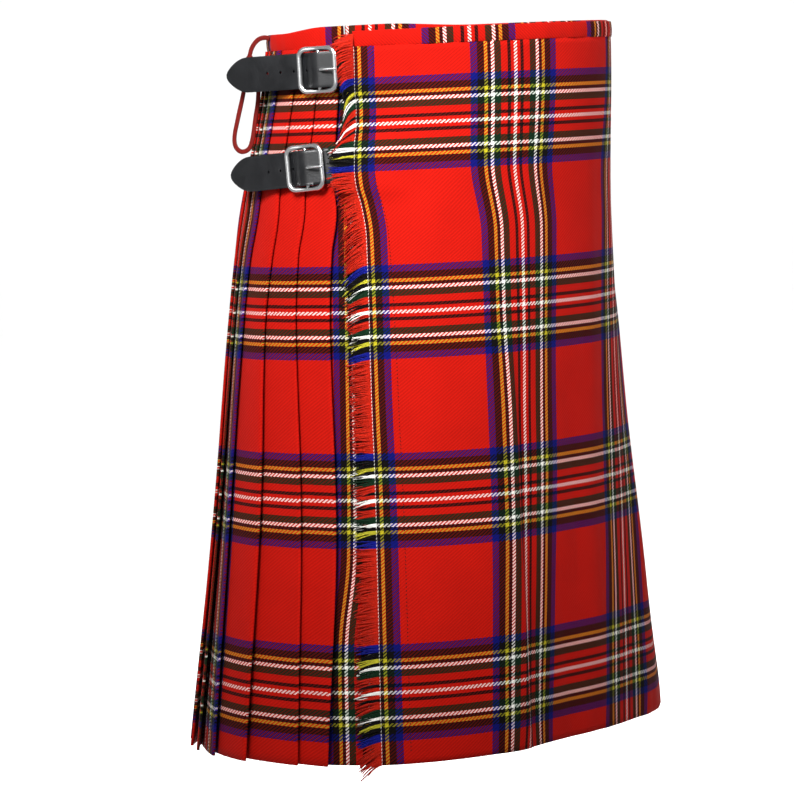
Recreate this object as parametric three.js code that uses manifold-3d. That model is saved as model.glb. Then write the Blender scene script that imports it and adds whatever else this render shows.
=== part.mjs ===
// A pleated tartan kilt in its worn, hollow form, in millimetres.
// +Z is up, the wearer faces -Y and the wearer's left is +X. The origin is the middle of the waist
// ring, at half the height of the over apron's waistband.
import * as THREE from 'three';
import Module from 'manifold-3d';
import { mergeVertices } from 'three/addons/utils/BufferGeometryUtils.js';

const wasm = await Module();
wasm.setup();

// ---------------------------------------------------------------- driving sizes
const BAND_HEIGHT = 13;
const SKIRT_DROP = 597;
const CLOTH = 1.2;
const BAND_CLOTH = 1.8;
const SEAM = 0.3;
const SEAM_Z = -BAND_HEIGHT / 2;

// Half sizes of the body's section, a row for each height below the waist seam. The powers are
// those of a superellipse: 2 is an ellipse and more is boxier.
const SECTIONS = [
  { drop: -20, side: 151, front: 166, back: 113, frontPower: 1.95, backPower: 2.2 },
  { drop: 0, side: 151, front: 166, back: 115, frontPower: 1.95, backPower: 2.2 },
  { drop: 160, side: 163, front: 149, back: 157, frontPower: 2.15, backPower: 2.2 },
  { drop: 330, side: 174.5, front: 141.5, back: 183.5, frontPower: 2.4, backPower: 2.2 },
  { drop: 600, side: 236, front: 145.5, back: 206, frontPower: 2.5, backPower: 2.2 },
];

// The fringed edge of the over apron and its folded edge at the left hip, as distances round the
// body from the front's middle, on the wearer's right and left.
const APRON_EDGES = [
  { drop: -20, fringed: 224, folded: 232 },
  { drop: 100, fringed: 224, folded: 230 },
  { drop: 160, fringed: 215.5, folded: 230 },
  { drop: 330, fringed: 219.5, folded: 238 },
  { drop: 600, fringed: 250.5, folded: 268 },
];

// Soft waves of the skirt, out from the body: their size grows from the hip to the hem.
const HEM_WAVES = [
  { at: 128, width: 46, out: 5, from: 120 },
  { at: 180, width: 60, out: -7, from: 250 },
  { at: -118, width: 34, out: 5, from: 150 },
  { at: -60, width: 70, out: -4, from: 260 },
  { at: 20, width: 60, out: 4, from: 320 },
  { at: 262, width: 70, out: 9, from: 300 },
];

// Knife pleats, counted from the wearer's right. The first folds have their own distances from the
// fringed edge, and the rest share what is left of the back.
const PLEAT_COUNT = 22;
const PLEAT_DEPTH_SHARE = 0.8;
const RIGHT_FOLDS = [
  { drop: 0, first: 11, second: 32, third: 54, fourth: 78 },
  { drop: 60, first: 15, second: 38, third: 65, fourth: 91 },
  { drop: 130, first: 20, second: 51, third: 81, fourth: 111 },
  { drop: 175, first: 30, second: 64, third: 95, fourth: 130 },
  { drop: 240, first: 34, second: 69, third: 107, fourth: 144 },
  { drop: 400, first: 33, second: 68, third: 115, fourth: 164 },
  { drop: 600, first: 42, second: 70, third: 126, fourth: 171 },
];
// How far a pleat's fold stands out, and the clear space inside a fold.
const PLEAT_RISES = [
  { drop: 0, rise: 5.4 },
  { drop: 220, rise: 5.8 },
  { drop: 600, rise: 9.5 },
];
const FOLD_STEP = CLOTH + SEAM;
// Half the width that a fold's round edge takes.
const FOLD_ROUND = 0.9;

// Fringe along the over apron's edge.
const STRAND_COUNT = 140;
const STRAND_LENGTH = 14;
const SHORT_STRAND = 3.4;
const STRAND_FALL = 5;
const STRAND_HALF_WIDTH = 1;
const BACKING_WIDTH = 2.6;

// Straps and their buckles: drop is the buckle's middle below the seam, at its distance from the
// fringed edge, standOff how much further out it lies because the hip widens below it, slope the
// strap's fall toward its tip, and tail the strap's length past the centre bar. Both straps are
// alike, and the lower one is fastened a hole further in.
const FASTENINGS = [
  { name: 'upper', drop: 18, fromEdge: 27, standOff: 0.8, slope: 0.018, tail: 103, holes: 4 },
  { name: 'lower', drop: 100, fromEdge: 38.5, standOff: 1.8, slope: 0.06, tail: 91, holes: 3 },
];
const STRAP_WIDTH = 30;
const STRAP_THICKNESS = 2.3;
const STRAP_HIDDEN = 26;
const BUCKLE_LENGTH = 40;
const BUCKLE_HEIGHT = 40;
const BUCKLE_CORNER = 7;
const BAR_RADIUS = 2.2;
const CENTRE_BAR_RADIUS = 1.9;
const CENTRE_BAR_OUT = 11.2;
const SIDE_BAR_OUT = 14;
const PRONG_RADIUS = 1.3;
const HOLE_RADIUS = 1.7;
const HOLE_FROM_TIP = 47.5;
const HOLE_PITCH = 14.6;
const TAB_THICKNESS = 1.4;
const TAB_WIDTH = 26;

// The hanging loop's ribbon, and its route in y and z: it leaves the waistband, hangs out behind the
// upper strap and opens into a long loop.
const RIBBON_WIDTH = 4;
const RIBBON_THICKNESS = 1;
const LOOP_X = -127;
const LOOP_STEM = [
  { y: 75.5, z: 4.5 }, { y: 81, z: 5.5 }, { y: 88, z: 3.5 }, { y: 94, z: -2.5 }, { y: 97.5, z: -11 },
];
const LOOP_RING = [
  { y: 97.5, z: -10 }, { y: 101.5, z: -27 }, { y: 106, z: -44 }, { y: 112, z: -62.5 },
  { y: 116.5, z: -78 }, { y: 115.8, z: -87 }, { y: 110, z: -91.5 }, { y: 102.5, z: -89.5 },
  { y: 98, z: -81 }, { y: 94, z: -63 }, { y: 90, z: -45 }, { y: 89.5, z: -24 },
];

// ---------------------------------------------------------------- tables and the body
// A column of a table as a smooth function of the drop.
function column(rows, name) {
  const slope = (i) => {
    if (i === 0 || i === rows.length - 1) return null;
    const before = (rows[i][name] - rows[i - 1][name]) / (rows[i].drop - rows[i - 1].drop);
    const after = (rows[i + 1][name] - rows[i][name]) / (rows[i + 1].drop - rows[i].drop);
    return before * after <= 0 ? 0 : (2 * before * after) / (before + after);
  };
  return (drop) => {
    let i = rows.findIndex((row) => drop < row.drop) - 1;
    if (i === -2) i = rows.length - 2;
    i = Math.max(i, 0);
    const [low, high] = [rows[i], rows[i + 1]];
    const span = high.drop - low.drop;
    const straight = (high[name] - low[name]) / span;
    const u = THREE.MathUtils.clamp((drop - low.drop) / span, 0, 1);
    const m0 = (slope(i) ?? straight) * span;
    const m1 = (slope(i + 1) ?? straight) * span;
    return (2 * u ** 3 - 3 * u ** 2 + 1) * low[name] + (u ** 3 - 2 * u ** 2 + u) * m0
      + (3 * u ** 2 - 2 * u ** 3) * high[name] + (u ** 3 - u ** 2) * m1;
  };
}
const bodyAt = Object.fromEntries(
  ['side', 'front', 'back', 'frontPower', 'backPower'].map((name) => [name, column(SECTIONS, name)]),
);
const fringedEdge = column(APRON_EDGES, 'fringed');
const foldedEdge = column(APRON_EDGES, 'folded');
const pleatRise = column(PLEAT_RISES, 'rise');

const smooth = (from, to, x) => THREE.MathUtils.smoothstep(x, from, to);
const bump = (x, width) => Math.exp(-((x / width) ** 2));

// One section of the body, walked from the front's middle to the wearer's left.
const STEPS = 360;
const sections = new Map();
function sectionAt(drop) {
  const key = drop.toFixed(3);
  if (sections.has(key)) return sections.get(key);
  const points = [];
  for (let i = 0; i <= STEPS; i += 1) {
    const turn = (2 * Math.PI * i) / STEPS;
    const [c, s] = [Math.cos(turn), Math.sin(turn)];
    const ahead = c > 0;
    const power = 2 / (ahead ? bodyAt.frontPower(drop) : bodyAt.backPower(drop));
    const depth = ahead ? bodyAt.front(drop) : bodyAt.back(drop);
    points.push(new THREE.Vector2(
      bodyAt.side(drop) * Math.sign(s) * Math.abs(s) ** power,
      -depth * Math.sign(c) * Math.abs(c) ** power,
    ));
  }
  const lengths = [0];
  for (let i = 1; i <= STEPS; i += 1) {
    lengths.push(lengths[i - 1] + points[i].distanceTo(points[i - 1]));
  }
  const section = { points, lengths, girth: lengths[STEPS] };
  sections.set(key, section);
  return section;
}
const girthAt = (drop) => sectionAt(drop).girth;

// The point at a distance round the section, and the outward direction there.
function onSection(along, drop) {
  const { points, lengths, girth } = sectionAt(drop);
  const s = ((along % girth) + girth) % girth;
  let low = 0;
  let high = STEPS;
  while (high - low > 1) {
    const middle = (low + high) >> 1;
    if (lengths[middle] <= s) low = middle;
    else high = middle;
  }
  const u = (s - lengths[low]) / (lengths[high] - lengths[low]);
  const tangentAt = (i) => {
    const [a, b] = [(i - 1 + STEPS) % STEPS, (i + 1) % STEPS];
    return points[b].clone().sub(points[a]).normalize();
  };
  const tangent = tangentAt(low % STEPS).lerp(tangentAt(high % STEPS), u).normalize();
  const point = points[low].clone().lerp(points[high], u);
  return { point, tangent, out: new THREE.Vector2(tangent.y, -tangent.x) };
}

// The waves' height at a place: `along` is measured from the front's middle.
function waveOut(along, drop) {
  let out = 0;
  for (const wave of HEM_WAVES) {
    out += wave.out * bump(along - wave.at, wave.width) * smooth(wave.from, SKIRT_DROP + 60, drop);
  }
  return out;
}

// A place on the garment: along the body from the front's middle, out from it, and down.
function place(along, out, drop) {
  const { point, out: away } = onSection(along, drop);
  const far = out + waveOut(along, drop);
  return new THREE.Vector3(point.x + away.x * far, point.y + away.y * far, SEAM_Z - drop);
}

// ---------------------------------------------------------------- solids
function facing(geometry) {
  const p = geometry.getAttribute('position');
  const index = geometry.getIndex();
  let volume = 0;
  const [a, b, c] = [new THREE.Vector3(), new THREE.Vector3(), new THREE.Vector3()];
  for (let i = 0; i < index.count; i += 3) {
    a.fromBufferAttribute(p, index.getX(i));
    b.fromBufferAttribute(p, index.getX(i + 1));
    c.fromBufferAttribute(p, index.getX(i + 2));
    volume += a.dot(b.cross(c));
  }
  if (volume < 0) {
    const turned = Array.from(index.array);
    for (let i = 0; i < turned.length; i += 3) {
      [turned[i], turned[i + 1]] = [turned[i + 1], turned[i]];
    }
    geometry.setIndex(turned);
  }
  geometry.computeVertexNormals();
  return geometry;
}

// A closed body from rings of points that all have the same length, capped at both ends, or joined
// end to start when it is a loop. A cap is a strip between the ring's two halves, and both halves
// are split along the same diagonals, so that neighbouring layers stay parallel.
function fromRings(rings, loop = false) {
  const size = rings[0].length;
  const positions = rings.flat().flatMap((v) => [v.x, v.y, v.z]);
  const index = [];
  const at = (i, j) => (i % rings.length) * size + (j % size);
  for (let i = 0; i < rings.length - (loop ? 0 : 1); i += 1) {
    for (let j = 0; j < size; j += 1) {
      const [a, b, c, d] = [at(i, j), at(i + 1, j), at(i + 1, j + 1), at(i, j + 1)];
      index.push(...(j < size / 2 ? [a, b, c, a, c, d] : [a, b, d, b, c, d]));
    }
  }
  if (!loop) {
    for (const [i, flip] of [[0, false], [rings.length - 1, true]]) {
      for (let j = 0; j < Math.floor(size / 2) - 1; j += 1) {
        const [a, b, c, d] = [at(i, j), at(i, j + 1), at(i, size - 2 - j), at(i, size - 1 - j)];
        const faces = b === c ? [[a, b, d]] : [[a, b, c], [a, c, d]];
        for (const [p, q, r] of faces) index.push(...(flip ? [p, r, q] : [p, q, r]));
      }
      if (size % 2) {
        const middle = Math.floor(size / 2);
        const face = [at(i, middle - 1), at(i, middle), at(i, middle + 1)];
        index.push(...(flip ? [face[0], face[2], face[1]] : face));
      }
    }
  }
  const geometry = new THREE.BufferGeometry();
  geometry.setAttribute('position', new THREE.Float32BufferAttribute(positions, 3));
  geometry.setIndex(index);
  return facing(geometry);
}

// A cloth wall: `path(drop)` gives its middle line as {s, r} points, the same number at each drop,
// and each ring runs up one face of the line and back down the other.
function clothWall(drops, path, thickness = CLOTH) {
  const half = thickness / 2;
  const rings = drops.map((drop) => {
    const line = path(drop);
    const sides = [[], []];
    line.forEach((here, i) => {
      const before = line[Math.max(i - 1, 0)];
      const after = line[Math.min(i + 1, line.length - 1)];
      const normal = new THREE.Vector2(before.r - after.r, after.s - before.s).normalize();
      [half, -half].forEach((shift, side) => {
        const dropHere = here.drop ?? drop;
        sides[side].push(place(here.s + normal.x * shift, here.r + normal.y * shift, dropHere));
      });
    });
    return [...sides[0], ...sides[1].reverse()];
  });
  return fromRings(rings);
}

function asManifold(geometry) {
  const bare = geometry.clone();
  bare.deleteAttribute('normal');
  bare.deleteAttribute('uv');
  const merged = mergeVertices(bare, 1e-4);
  return new wasm.Manifold(new wasm.Mesh({
    numProp: 3,
    vertProperties: new Float32Array(merged.getAttribute('position').array),
    triVerts: new Uint32Array(merged.getIndex().array),
  }));
}

function fromManifold(solid) {
  const { vertProperties, triVerts, numProp } = solid.getMesh();
  const positions = [];
  for (let i = 0; i < vertProperties.length; i += numProp) {
    positions.push(vertProperties[i], vertProperties[i + 1], vertProperties[i + 2]);
  }
  const geometry = new THREE.BufferGeometry();
  geometry.setAttribute('position', new THREE.Float32BufferAttribute(positions, 3));
  geometry.setIndex(Array.from(triVerts));
  geometry.computeVertexNormals();
  return geometry;
}

// A round bar along points, with `up` a direction that it never runs along.
const UPWARD = new THREE.Vector3(0, 0, 1);
function bar(points, radius, sides, { loop = false, up = UPWARD } = {}) {
  const count = points.length;
  const rings = points.map((here, i) => {
    const before = points[loop ? (i - 1 + count) % count : Math.max(i - 1, 0)];
    const after = points[loop ? (i + 1) % count : Math.min(i + 1, count - 1)];
    const along = after.clone().sub(before).normalize();
    const across = new THREE.Vector3().crossVectors(along, up).normalize();
    const over = new THREE.Vector3().crossVectors(across, along);
    return Array.from({ length: sides }, (_, j) => {
      const turn = (2 * Math.PI * (j + 0.5)) / sides;
      return here.clone().addScaledVector(across, radius * Math.cos(turn))
        .addScaledVector(over, radius * Math.sin(turn));
    });
  });
  return fromRings(rings, loop);
}

// ---------------------------------------------------------------- materials and the group
const wool = new THREE.MeshStandardMaterial({ color: 0xc8140f, roughness: 0.85, metalness: 0 });
const fringeWool = new THREE.MeshStandardMaterial({ color: 0xb01512, roughness: 0.9, metalness: 0 });
const leather = new THREE.MeshStandardMaterial({ color: 0x2b2c31, roughness: 0.55, metalness: 0 });
const chrome = new THREE.MeshStandardMaterial({ color: 0xd8dadc, roughness: 0.15, metalness: 1 });
const ribbon = new THREE.MeshStandardMaterial({ color: 0x8e1a14, roughness: 0.6, metalness: 0 });

const kilt = new THREE.Group();
function add(name, geometry, material) {
  const mesh = new THREE.Mesh(geometry, material);
  mesh.name = name;
  kilt.add(mesh);
}

// ---------------------------------------------------------------- aprons
const range = (from, to, count) => (
  Array.from({ length: count + 1 }, (_, i) => from + ((to - from) * i) / count)
);
const UNDER_OUT = CLOTH / 2;
// The aprons' facets differ a little where only the over apron bends, so it lies 0.7 off the other.
const APRON_CLEARANCE = 0.7;
const OVER_OUT = UNDER_OUT + CLOTH + APRON_CLEARANCE;

// How far the over apron lifts where a strap runs behind its fringed edge, and how far past the
// strap's edges and its hidden end it takes to settle.
const STRAP_LIFT = 3.2;
const LIFT_PAST_STRAP = { from: 3, to: 17 };
const LIFT_PAST_END = { from: 2, to: 30 };
function strapLift(fromEdge, drop) {
  let lift = 0;
  for (const { drop: middle } of FASTENINGS) {
    const past = Math.abs(drop - middle) - STRAP_WIDTH / 2;
    lift = Math.max(lift, STRAP_LIFT * (1 - smooth(LIFT_PAST_STRAP.from, LIFT_PAST_STRAP.to, past)));
  }
  return lift * (1 - smooth(LIFT_PAST_END.from, LIFT_PAST_END.to, fromEdge - STRAP_HIDDEN));
}

// Where the folded edge's inner crease lies, under the over apron.
const foldDepth = (drop) => PLEAT_DEPTH_SHARE * pleatPitch(drop);

// Both aprons bend at the same places, so that they stay parallel between them.
const APRON_BENDS = 35;
const apronPlaces = (drop) => (
  range(-fringedEdge(drop), foldedEdge(drop) - foldDepth(drop), APRON_BENDS)
);

// The over apron rises by a fold's step as it nears the crease of its own folded edge.
const CREASE_RAMP = { from: 45, to: 4 };
// How much further out its fold lies than the pleats' folds, and its crease than theirs.
const EDGE_RISE = 0.4;
const CREASE_RISE = 0.35;

function overApronPath(drop) {
  const start = -fringedEdge(drop);
  const end = foldedEdge(drop);
  const top = UNDER_OUT + pleatRise(drop) + EDGE_RISE;
  const crease = end - foldDepth(drop);
  const line = apronPlaces(drop).map((s) => ({
    s,
    r: OVER_OUT + strapLift(s - start, drop)
      + FOLD_STEP * smooth(crease - CREASE_RAMP.from, crease - CREASE_RAMP.to, s),
  }));
  const creaseTop = OVER_OUT + FOLD_STEP;
  for (const u of [0.35, 0.7]) {
    line.push({ s: crease + (end - crease) * u, r: creaseTop + (top - creaseTop) * u });
  }
  line.push({ s: end - FOLD_ROUND, r: top });
  line.push({ s: end, r: top - FOLD_STEP / 2 });
  line.push({ s: end - FOLD_ROUND, r: top - FOLD_STEP });
  for (const u of [0.35, 0.7, 1]) {
    const low = UNDER_OUT + FOLD_STEP + CREASE_RISE;
    line.push({ s: end - (end - crease - 1) * u, r: top - FOLD_STEP + (low - top + FOLD_STEP) * u });
  }
  return line;
}

// Every panel has the common rows, so that the layers stay parallel between them, and the over apron
// has more where it lifts over the straps.
const PANEL_ROWS = [0, 60, 130, 215, 300, 400, 500, SKIRT_DROP];
const OVER_APRON_ROWS = [0, 38, 60, 82, 118, 130, 172, 215, 300, 400, 500, SKIRT_DROP];
add('over_apron', clothWall(OVER_APRON_ROWS, overApronPath), wool);

// ---------------------------------------------------------------- pleats
const foldNames = ['first', 'second', 'third', 'fourth'];
const rightFolds = foldNames.map((name) => column(RIGHT_FOLDS, name));

// Folds counted from the left hip: the last four are those nearest the straps.
function foldsAt(drop) {
  const girth = girthAt(drop);
  const edge = girth - fringedEdge(drop);
  const given = rightFolds.map((fold) => edge - fold(drop)).reverse();
  const start = foldedEdge(drop);
  const shared = PLEAT_COUNT - given.length;
  const pitch = (given[0] - start) / (shared + 1);
  const folds = [];
  for (let i = 0; i < shared; i += 1) {
    const uneven = 0.09 * Math.sin(2.4 * i + 0.7) * smooth(150, SKIRT_DROP, drop);
    folds.push(start + pitch * (i + 1 + uneven));
  }
  return [...folds, ...given];
}
function pleatPitch(drop) {
  return (girthAt(drop) - fringedEdge(drop) - foldedEdge(drop)) / PLEAT_COUNT;
}

// Distance from the last fold back to the seam with the under apron, hidden beneath that fold.
const JOIN_BACK = 7;

// Clear space left between one fold's inner crease and the next.
const CREASE_CLEARANCE = 2;

function pleatsPath(drop) {
  const folds = foldsAt(drop);
  const rise = pleatRise(drop);
  const top = UNDER_OUT + rise;
  const depth = foldDepth(drop);
  const line = [];
  let inner = foldedEdge(drop) - depth + 1.5;
  folds.forEach((fold, k) => {
    const before = k === 0 ? foldedEdge(drop) : folds[k - 1];
    const reach = Math.min(depth, fold - before - CREASE_CLEARANCE + (before - inner) * 0.75);
    // The layer seen from outside, from under the fold before it out to this fold.
    for (const u of [0, 0.33, 0.67]) {
      line.push({ s: inner + (fold - inner) * u, r: UNDER_OUT + rise * u });
    }
    line.push({ s: fold - FOLD_ROUND, r: top });
    line.push({ s: fold, r: top - FOLD_STEP / 2 });
    line.push({ s: fold - FOLD_ROUND, r: top - FOLD_STEP });
    // The layer folded back beneath it, down to the inner crease.
    const crease = fold - reach;
    const low = UNDER_OUT + FOLD_STEP;
    line.push({ s: fold - reach / 2, r: (top - FOLD_STEP + low) / 2 });
    line.push({ s: crease + FOLD_ROUND, r: low });
    line.push({ s: crease, r: low - FOLD_STEP / 2 });
    inner = crease + FOLD_ROUND;
  });
  const last = folds[folds.length - 1];
  line.push({ s: inner, r: UNDER_OUT });
  line.push({ s: (inner + last - JOIN_BACK) / 2, r: UNDER_OUT });
  line.push({ s: last - JOIN_BACK, r: UNDER_OUT });
  return line;
}
add('pleats', clothWall(PANEL_ROWS, pleatsPath), wool);

// ---------------------------------------------------------------- under apron
function underApronPath(drop) {
  const folds = foldsAt(drop);
  const start = folds[folds.length - 1] - JOIN_BACK + SEAM - girthAt(drop);
  const covered = apronPlaces(drop).slice(0, -1);
  const shown = range(start, covered[0], 4).slice(0, -1);
  return [...shown, ...covered].map((s) => ({ s, r: UNDER_OUT }));
}
add('under_apron', clothWall(PANEL_ROWS, underApronPath), wool);

// ---------------------------------------------------------------- waistbands
// A band stands on its panel's top edge, the seam's gap above it.
function waistband(name, from, to, out, peaks, count) {
  const path = (drop) => range(from, to, count).map((s) => {
    const share = drop / -BAND_HEIGHT;
    return { s, r: out, drop: -SEAM - share * (BAND_HEIGHT - SEAM + peaks(s)) };
  });
  add(name, clothWall([0, -BAND_HEIGHT], path, BAND_CLOTH), wool);
}
const waistGirth = girthAt(0);
// The pleats' band ends 3 short of the first fold, and the under apron's band starts there.
const waistJoin = waistGirth - fringedEdge(0) - RIGHT_FOLDS[0].first + 3;
// The inner bands stand up past the over apron's, most of all behind its fringed edge.
const INNER_PEAK = 5;
const INNER_LEAST = 1;
const PLEAT_BAND_OUT = UNDER_OUT + 2.6;
const UNDER_BAND_OUT = UNDER_OUT - 2 * SEAM;
const standUp = (share) => THREE.MathUtils.lerp(INNER_LEAST, INNER_PEAK, share);
const risingPeak = (s) => standUp(smooth(waistGirth - 300, waistGirth - 250, s));
const fallingPeak = (s) => standUp(1 - smooth(-200, -120, s));
waistband('waistband_over_apron', -fringedEdge(0), foldedEdge(0) - SEAM, OVER_OUT + SEAM, () => 0, 36);
waistband('waistband_pleats', foldedEdge(0), waistJoin, PLEAT_BAND_OUT, risingPeak, 38);
waistband('waistband_under_apron', waistJoin - waistGirth + SEAM, foldedEdge(0) - foldDepth(0),
  UNDER_BAND_OUT, fallingPeak, 34);

// ---------------------------------------------------------------- fringe
// Strands hang over the edge from a narrow backing strip that lies beside the over apron's edge.
function strandNoise(i, k) {
  const x = Math.sin(12.9898 * i + 78.233 * k) * 43758.5453;
  return x - Math.floor(x) - 0.5;
}
// A place beside the apron's fringed edge, which runs straight between the apron's rows.
function besideEdge(left, out, drop) {
  const row = Math.max(OVER_APRON_ROWS.findIndex((next) => drop < next) - 1, 0);
  const i = drop >= SKIRT_DROP ? OVER_APRON_ROWS.length - 2 : row;
  const [above, below] = [OVER_APRON_ROWS[i], OVER_APRON_ROWS[i + 1]];
  const [high, low] = [above, below].map((at) => (
    place(-fringedEdge(at) - SEAM - left, OVER_OUT + strapLift(0, at) + out, at)
  ));
  return high.lerp(low, (drop - above) / (below - above));
}

// How far a height is from the nearest strap's edge, and from the upper strap's.
const pastStrap = (drop, { drop: middle }) => Math.abs(drop - middle) - STRAP_WIDTH / 2;
// Between the straps the strands sag and bunch, and beside the upper buckle they are short.
const bunchFall = (drop) => 7 * bump(drop - 62, 14);
const strandReach = (drop) => THREE.MathUtils.lerp(
  SHORT_STRAND, STRAND_LENGTH, smooth(7, 14, pastStrap(drop, FASTENINGS[0])),
);
// They ride over the straps and over the first pleat where it lies close to the edge.
function strandRise(drop) {
  const overPleat = 6.4 * (1 - smooth(95, 130, drop));
  const overStraps = FASTENINGS.map((fastening) => 9.5 * (1 - smooth(12, 20, pastStrap(drop, fastening))));
  return Math.max(overPleat, ...overStraps);
}

function fringe() {
  const rows = range(0, SKIRT_DROP - 1, STRAND_COUNT * 2);
  const positions = [];
  const index = [];
  const push = (v) => positions.push(v.x, v.y, v.z) / 3 - 1;
  const corners = rows.map((drop) => (
    [[0, 1], [0, -1], [BACKING_WIDTH, -1], [BACKING_WIDTH, 1]].map(([left, side]) => (
      push(besideEdge(left, (side * CLOTH) / 2, drop))
    ))
  ));
  const quad = (a, b, c, d) => index.push(a, b, c, a, c, d);
  for (let i = 0; i < rows.length - 1; i += 1) {
    const [here, next] = [corners[i], corners[i + 1]];
    for (const j of [0, 1, 3]) {
      const k = (j + 1) % 4;
      quad(here[j], next[j], next[k], here[k]);
    }
    const root = [here[2], next[2], next[3], here[3]];
    if (i % 2 === 1) {
      quad(...root);
      continue;
    }
    // A strand grows out of this stretch of the backing's face.
    const number = i / 2;
    const drop = (rows[i] + rows[i + 1]) / 2;
    const free = smooth(0, 30, SKIRT_DROP - drop);
    const fall = STRAND_FALL * (1 + strandNoise(number, 1)) * free + bunchFall(drop);
    const reach = strandReach(drop) * (1 + 0.16 * strandNoise(number, 2));
    const rise = strandRise(drop) + 0.5 * Math.abs(strandNoise(number, 3));
    const spot = (share, d, r) => (
      besideEdge(BACKING_WIDTH + reach * share, rise * share + r, drop + fall * share ** 1.6 + d)
    );
    const h = STRAND_HALF_WIDTH;
    const middle = [[-h, -h], [h, -h], [h, h], [-h, h]].map(([d, r]) => push(spot(0.5, d, r)));
    const tip = push(spot(1, 0, 0));
    for (let j = 0; j < 4; j += 1) {
      const k = (j + 1) % 4;
      quad(root[j], root[k], middle[k], middle[j]);
      index.push(middle[j], middle[k], tip);
    }
  }
  quad(corners[0][0], corners[0][1], corners[0][2], corners[0][3]);
  quad(...[...corners[corners.length - 1]].reverse());
  const geometry = new THREE.BufferGeometry();
  geometry.setAttribute('position', new THREE.Float32BufferAttribute(positions, 3));
  geometry.setIndex(index);
  return facing(geometry);
}
add('fringe', fringe(), fringeWool);

// ---------------------------------------------------------------- straps and buckles
// A fastening's own axes: x runs toward the strap's tip, y up and z out from the body.
function hipFrame({ drop, fromEdge, standOff, slope }) {
  const along = -fringedEdge(drop) - fromEdge;
  const { point, tangent, out } = onSection(along, drop);
  const toTip = new THREE.Vector3(-tangent.x, -tangent.y, 0);
  const away = new THREE.Vector3(out.x, out.y, 0);
  const lean = Math.atan(slope);
  const x = toTip.clone().multiplyScalar(Math.cos(lean)).add(new THREE.Vector3(0, 0, -Math.sin(lean)));
  const y = new THREE.Vector3().crossVectors(away, x).normalize();
  const up = y.z < 0 ? y.negate() : y;
  const origin = new THREE.Vector3(point.x, point.y, SEAM_Z - drop);
  const at = (a, b, r) => origin.clone().addScaledVector(x, a).addScaledVector(up, b)
    .addScaledVector(away, r + standOff);
  return { along, drop, slope, at, away };
}

// Where the strap starts to rise past the fringe's backing, and where it reaches the near bar.
const strapRise = (fromEdge) => ({ start: 3.2 - fromEdge, near: BAR_RADIUS - BUCKLE_LENGTH / 2 - 1 });

// The strap's middle line: behind the apron's edge, under the near bar, over the centre bar, under
// the far bar, then straight on to its tip. A row gives the place toward the tip and the height.
function strapLine({ fromEdge, tail }) {
  const edge = -fromEdge;
  const half = BUCKLE_LENGTH / 2 - BAR_RADIUS;
  const { start, near } = strapRise(fromEdge);
  const steep = near - start < 10;
  const knee = steep ? (start + near) / 2 : start + 10;
  const under = SIDE_BAR_OUT - BAR_RADIUS - SEAM - STRAP_THICKNESS / 2;
  const over = CENTRE_BAR_OUT + CENTRE_BAR_RADIUS + 2 * SEAM + TAB_THICKNESS + STRAP_THICKNESS / 2;
  const hidden = UNDER_OUT + CLOTH / 2 + 3 * SEAM + STRAP_THICKNESS / 2;
  return [
    { a: edge - STRAP_HIDDEN, r: hidden },
    { a: edge - 17, r: hidden },
    { a: edge - 8, r: hidden },
    { a: start, r: hidden + 0.1 },
    { a: knee, r: steep ? under - 4 : under - 1.5 },
    { a: near, r: under - 0.1 },
    { a: -half + 3, r: under + 0.2 },
    { a: -7.5, r: over - 2.2 },
    { a: -3, r: over - 0.2 },
    { a: 0, r: over },
    { a: 3, r: over - 0.2 },
    { a: 7.5, r: over - 2.4 },
    { a: half - 4, r: under - 0.1 },
    { a: half + 2, r: under - 0.5 },
    { a: half + 16, r: under - 1.6 },
    { a: tail - 42, r: under - 4.5 },
    { a: tail - 28, r: under - 6.5 },
    { a: tail - 16, r: under - 8.6 },
    { a: tail - 9, r: under - 10 },
    { a: tail - 4, r: under - 11 },
    { a: tail, r: under - 12 },
  ];
}

function strap(fastening) {
  const frame = hipFrame(fastening);
  const line = strapLine(fastening);
  const { start, near } = strapRise(fastening.fromEdge);
  const settled = Math.max(start, near - 9);
  // Near the apron the strap follows the body, and past the buckle it is straight.
  const spot = (a, b, r) => {
    if (a >= near) return frame.at(a, b, r);
    const down = frame.drop - b + a * frame.slope;
    const flat = frame.at(a, b, r);
    const round = place(frame.along - a, r, down);
    return flat.lerp(round, smooth(-near, -settled, -a));
  };
  const rings = line.map(({ a, r }, i) => {
    const before = line[Math.max(i - 1, 0)];
    const after = line[Math.min(i + 1, line.length - 1)];
    const normal = new THREE.Vector2(before.r - after.r, after.a - before.a).normalize();
    const toTip = fastening.tail - a;
    const taper = toTip < 20 ? 0.16 + 0.84 * Math.sin((Math.PI / 2) * (toTip / 20)) ** 0.8 : 1;
    const half = (STRAP_WIDTH / 2) * taper;
    const ring = [];
    for (const side of [0.5, -0.5]) {
      const shift = side * STRAP_THICKNESS;
      const widths = range(-half, half, 4);
      for (const b of side > 0 ? widths : widths.reverse()) {
        ring.push(spot(a + normal.x * shift, b, r + normal.y * shift));
      }
    }
    return ring;
  });
  let solid = asManifold(fromRings(rings));
  for (let i = 0; i < fastening.holes; i += 1) {
    const a = fastening.tail - HOLE_FROM_TIP - HOLE_PITCH * i;
    const hole = asManifold(bar([frame.at(a, 0, -20), frame.at(a, 0, 30)], HOLE_RADIUS, 6));
    solid = solid.subtract(hole);
  }
  return solid;
}

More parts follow.
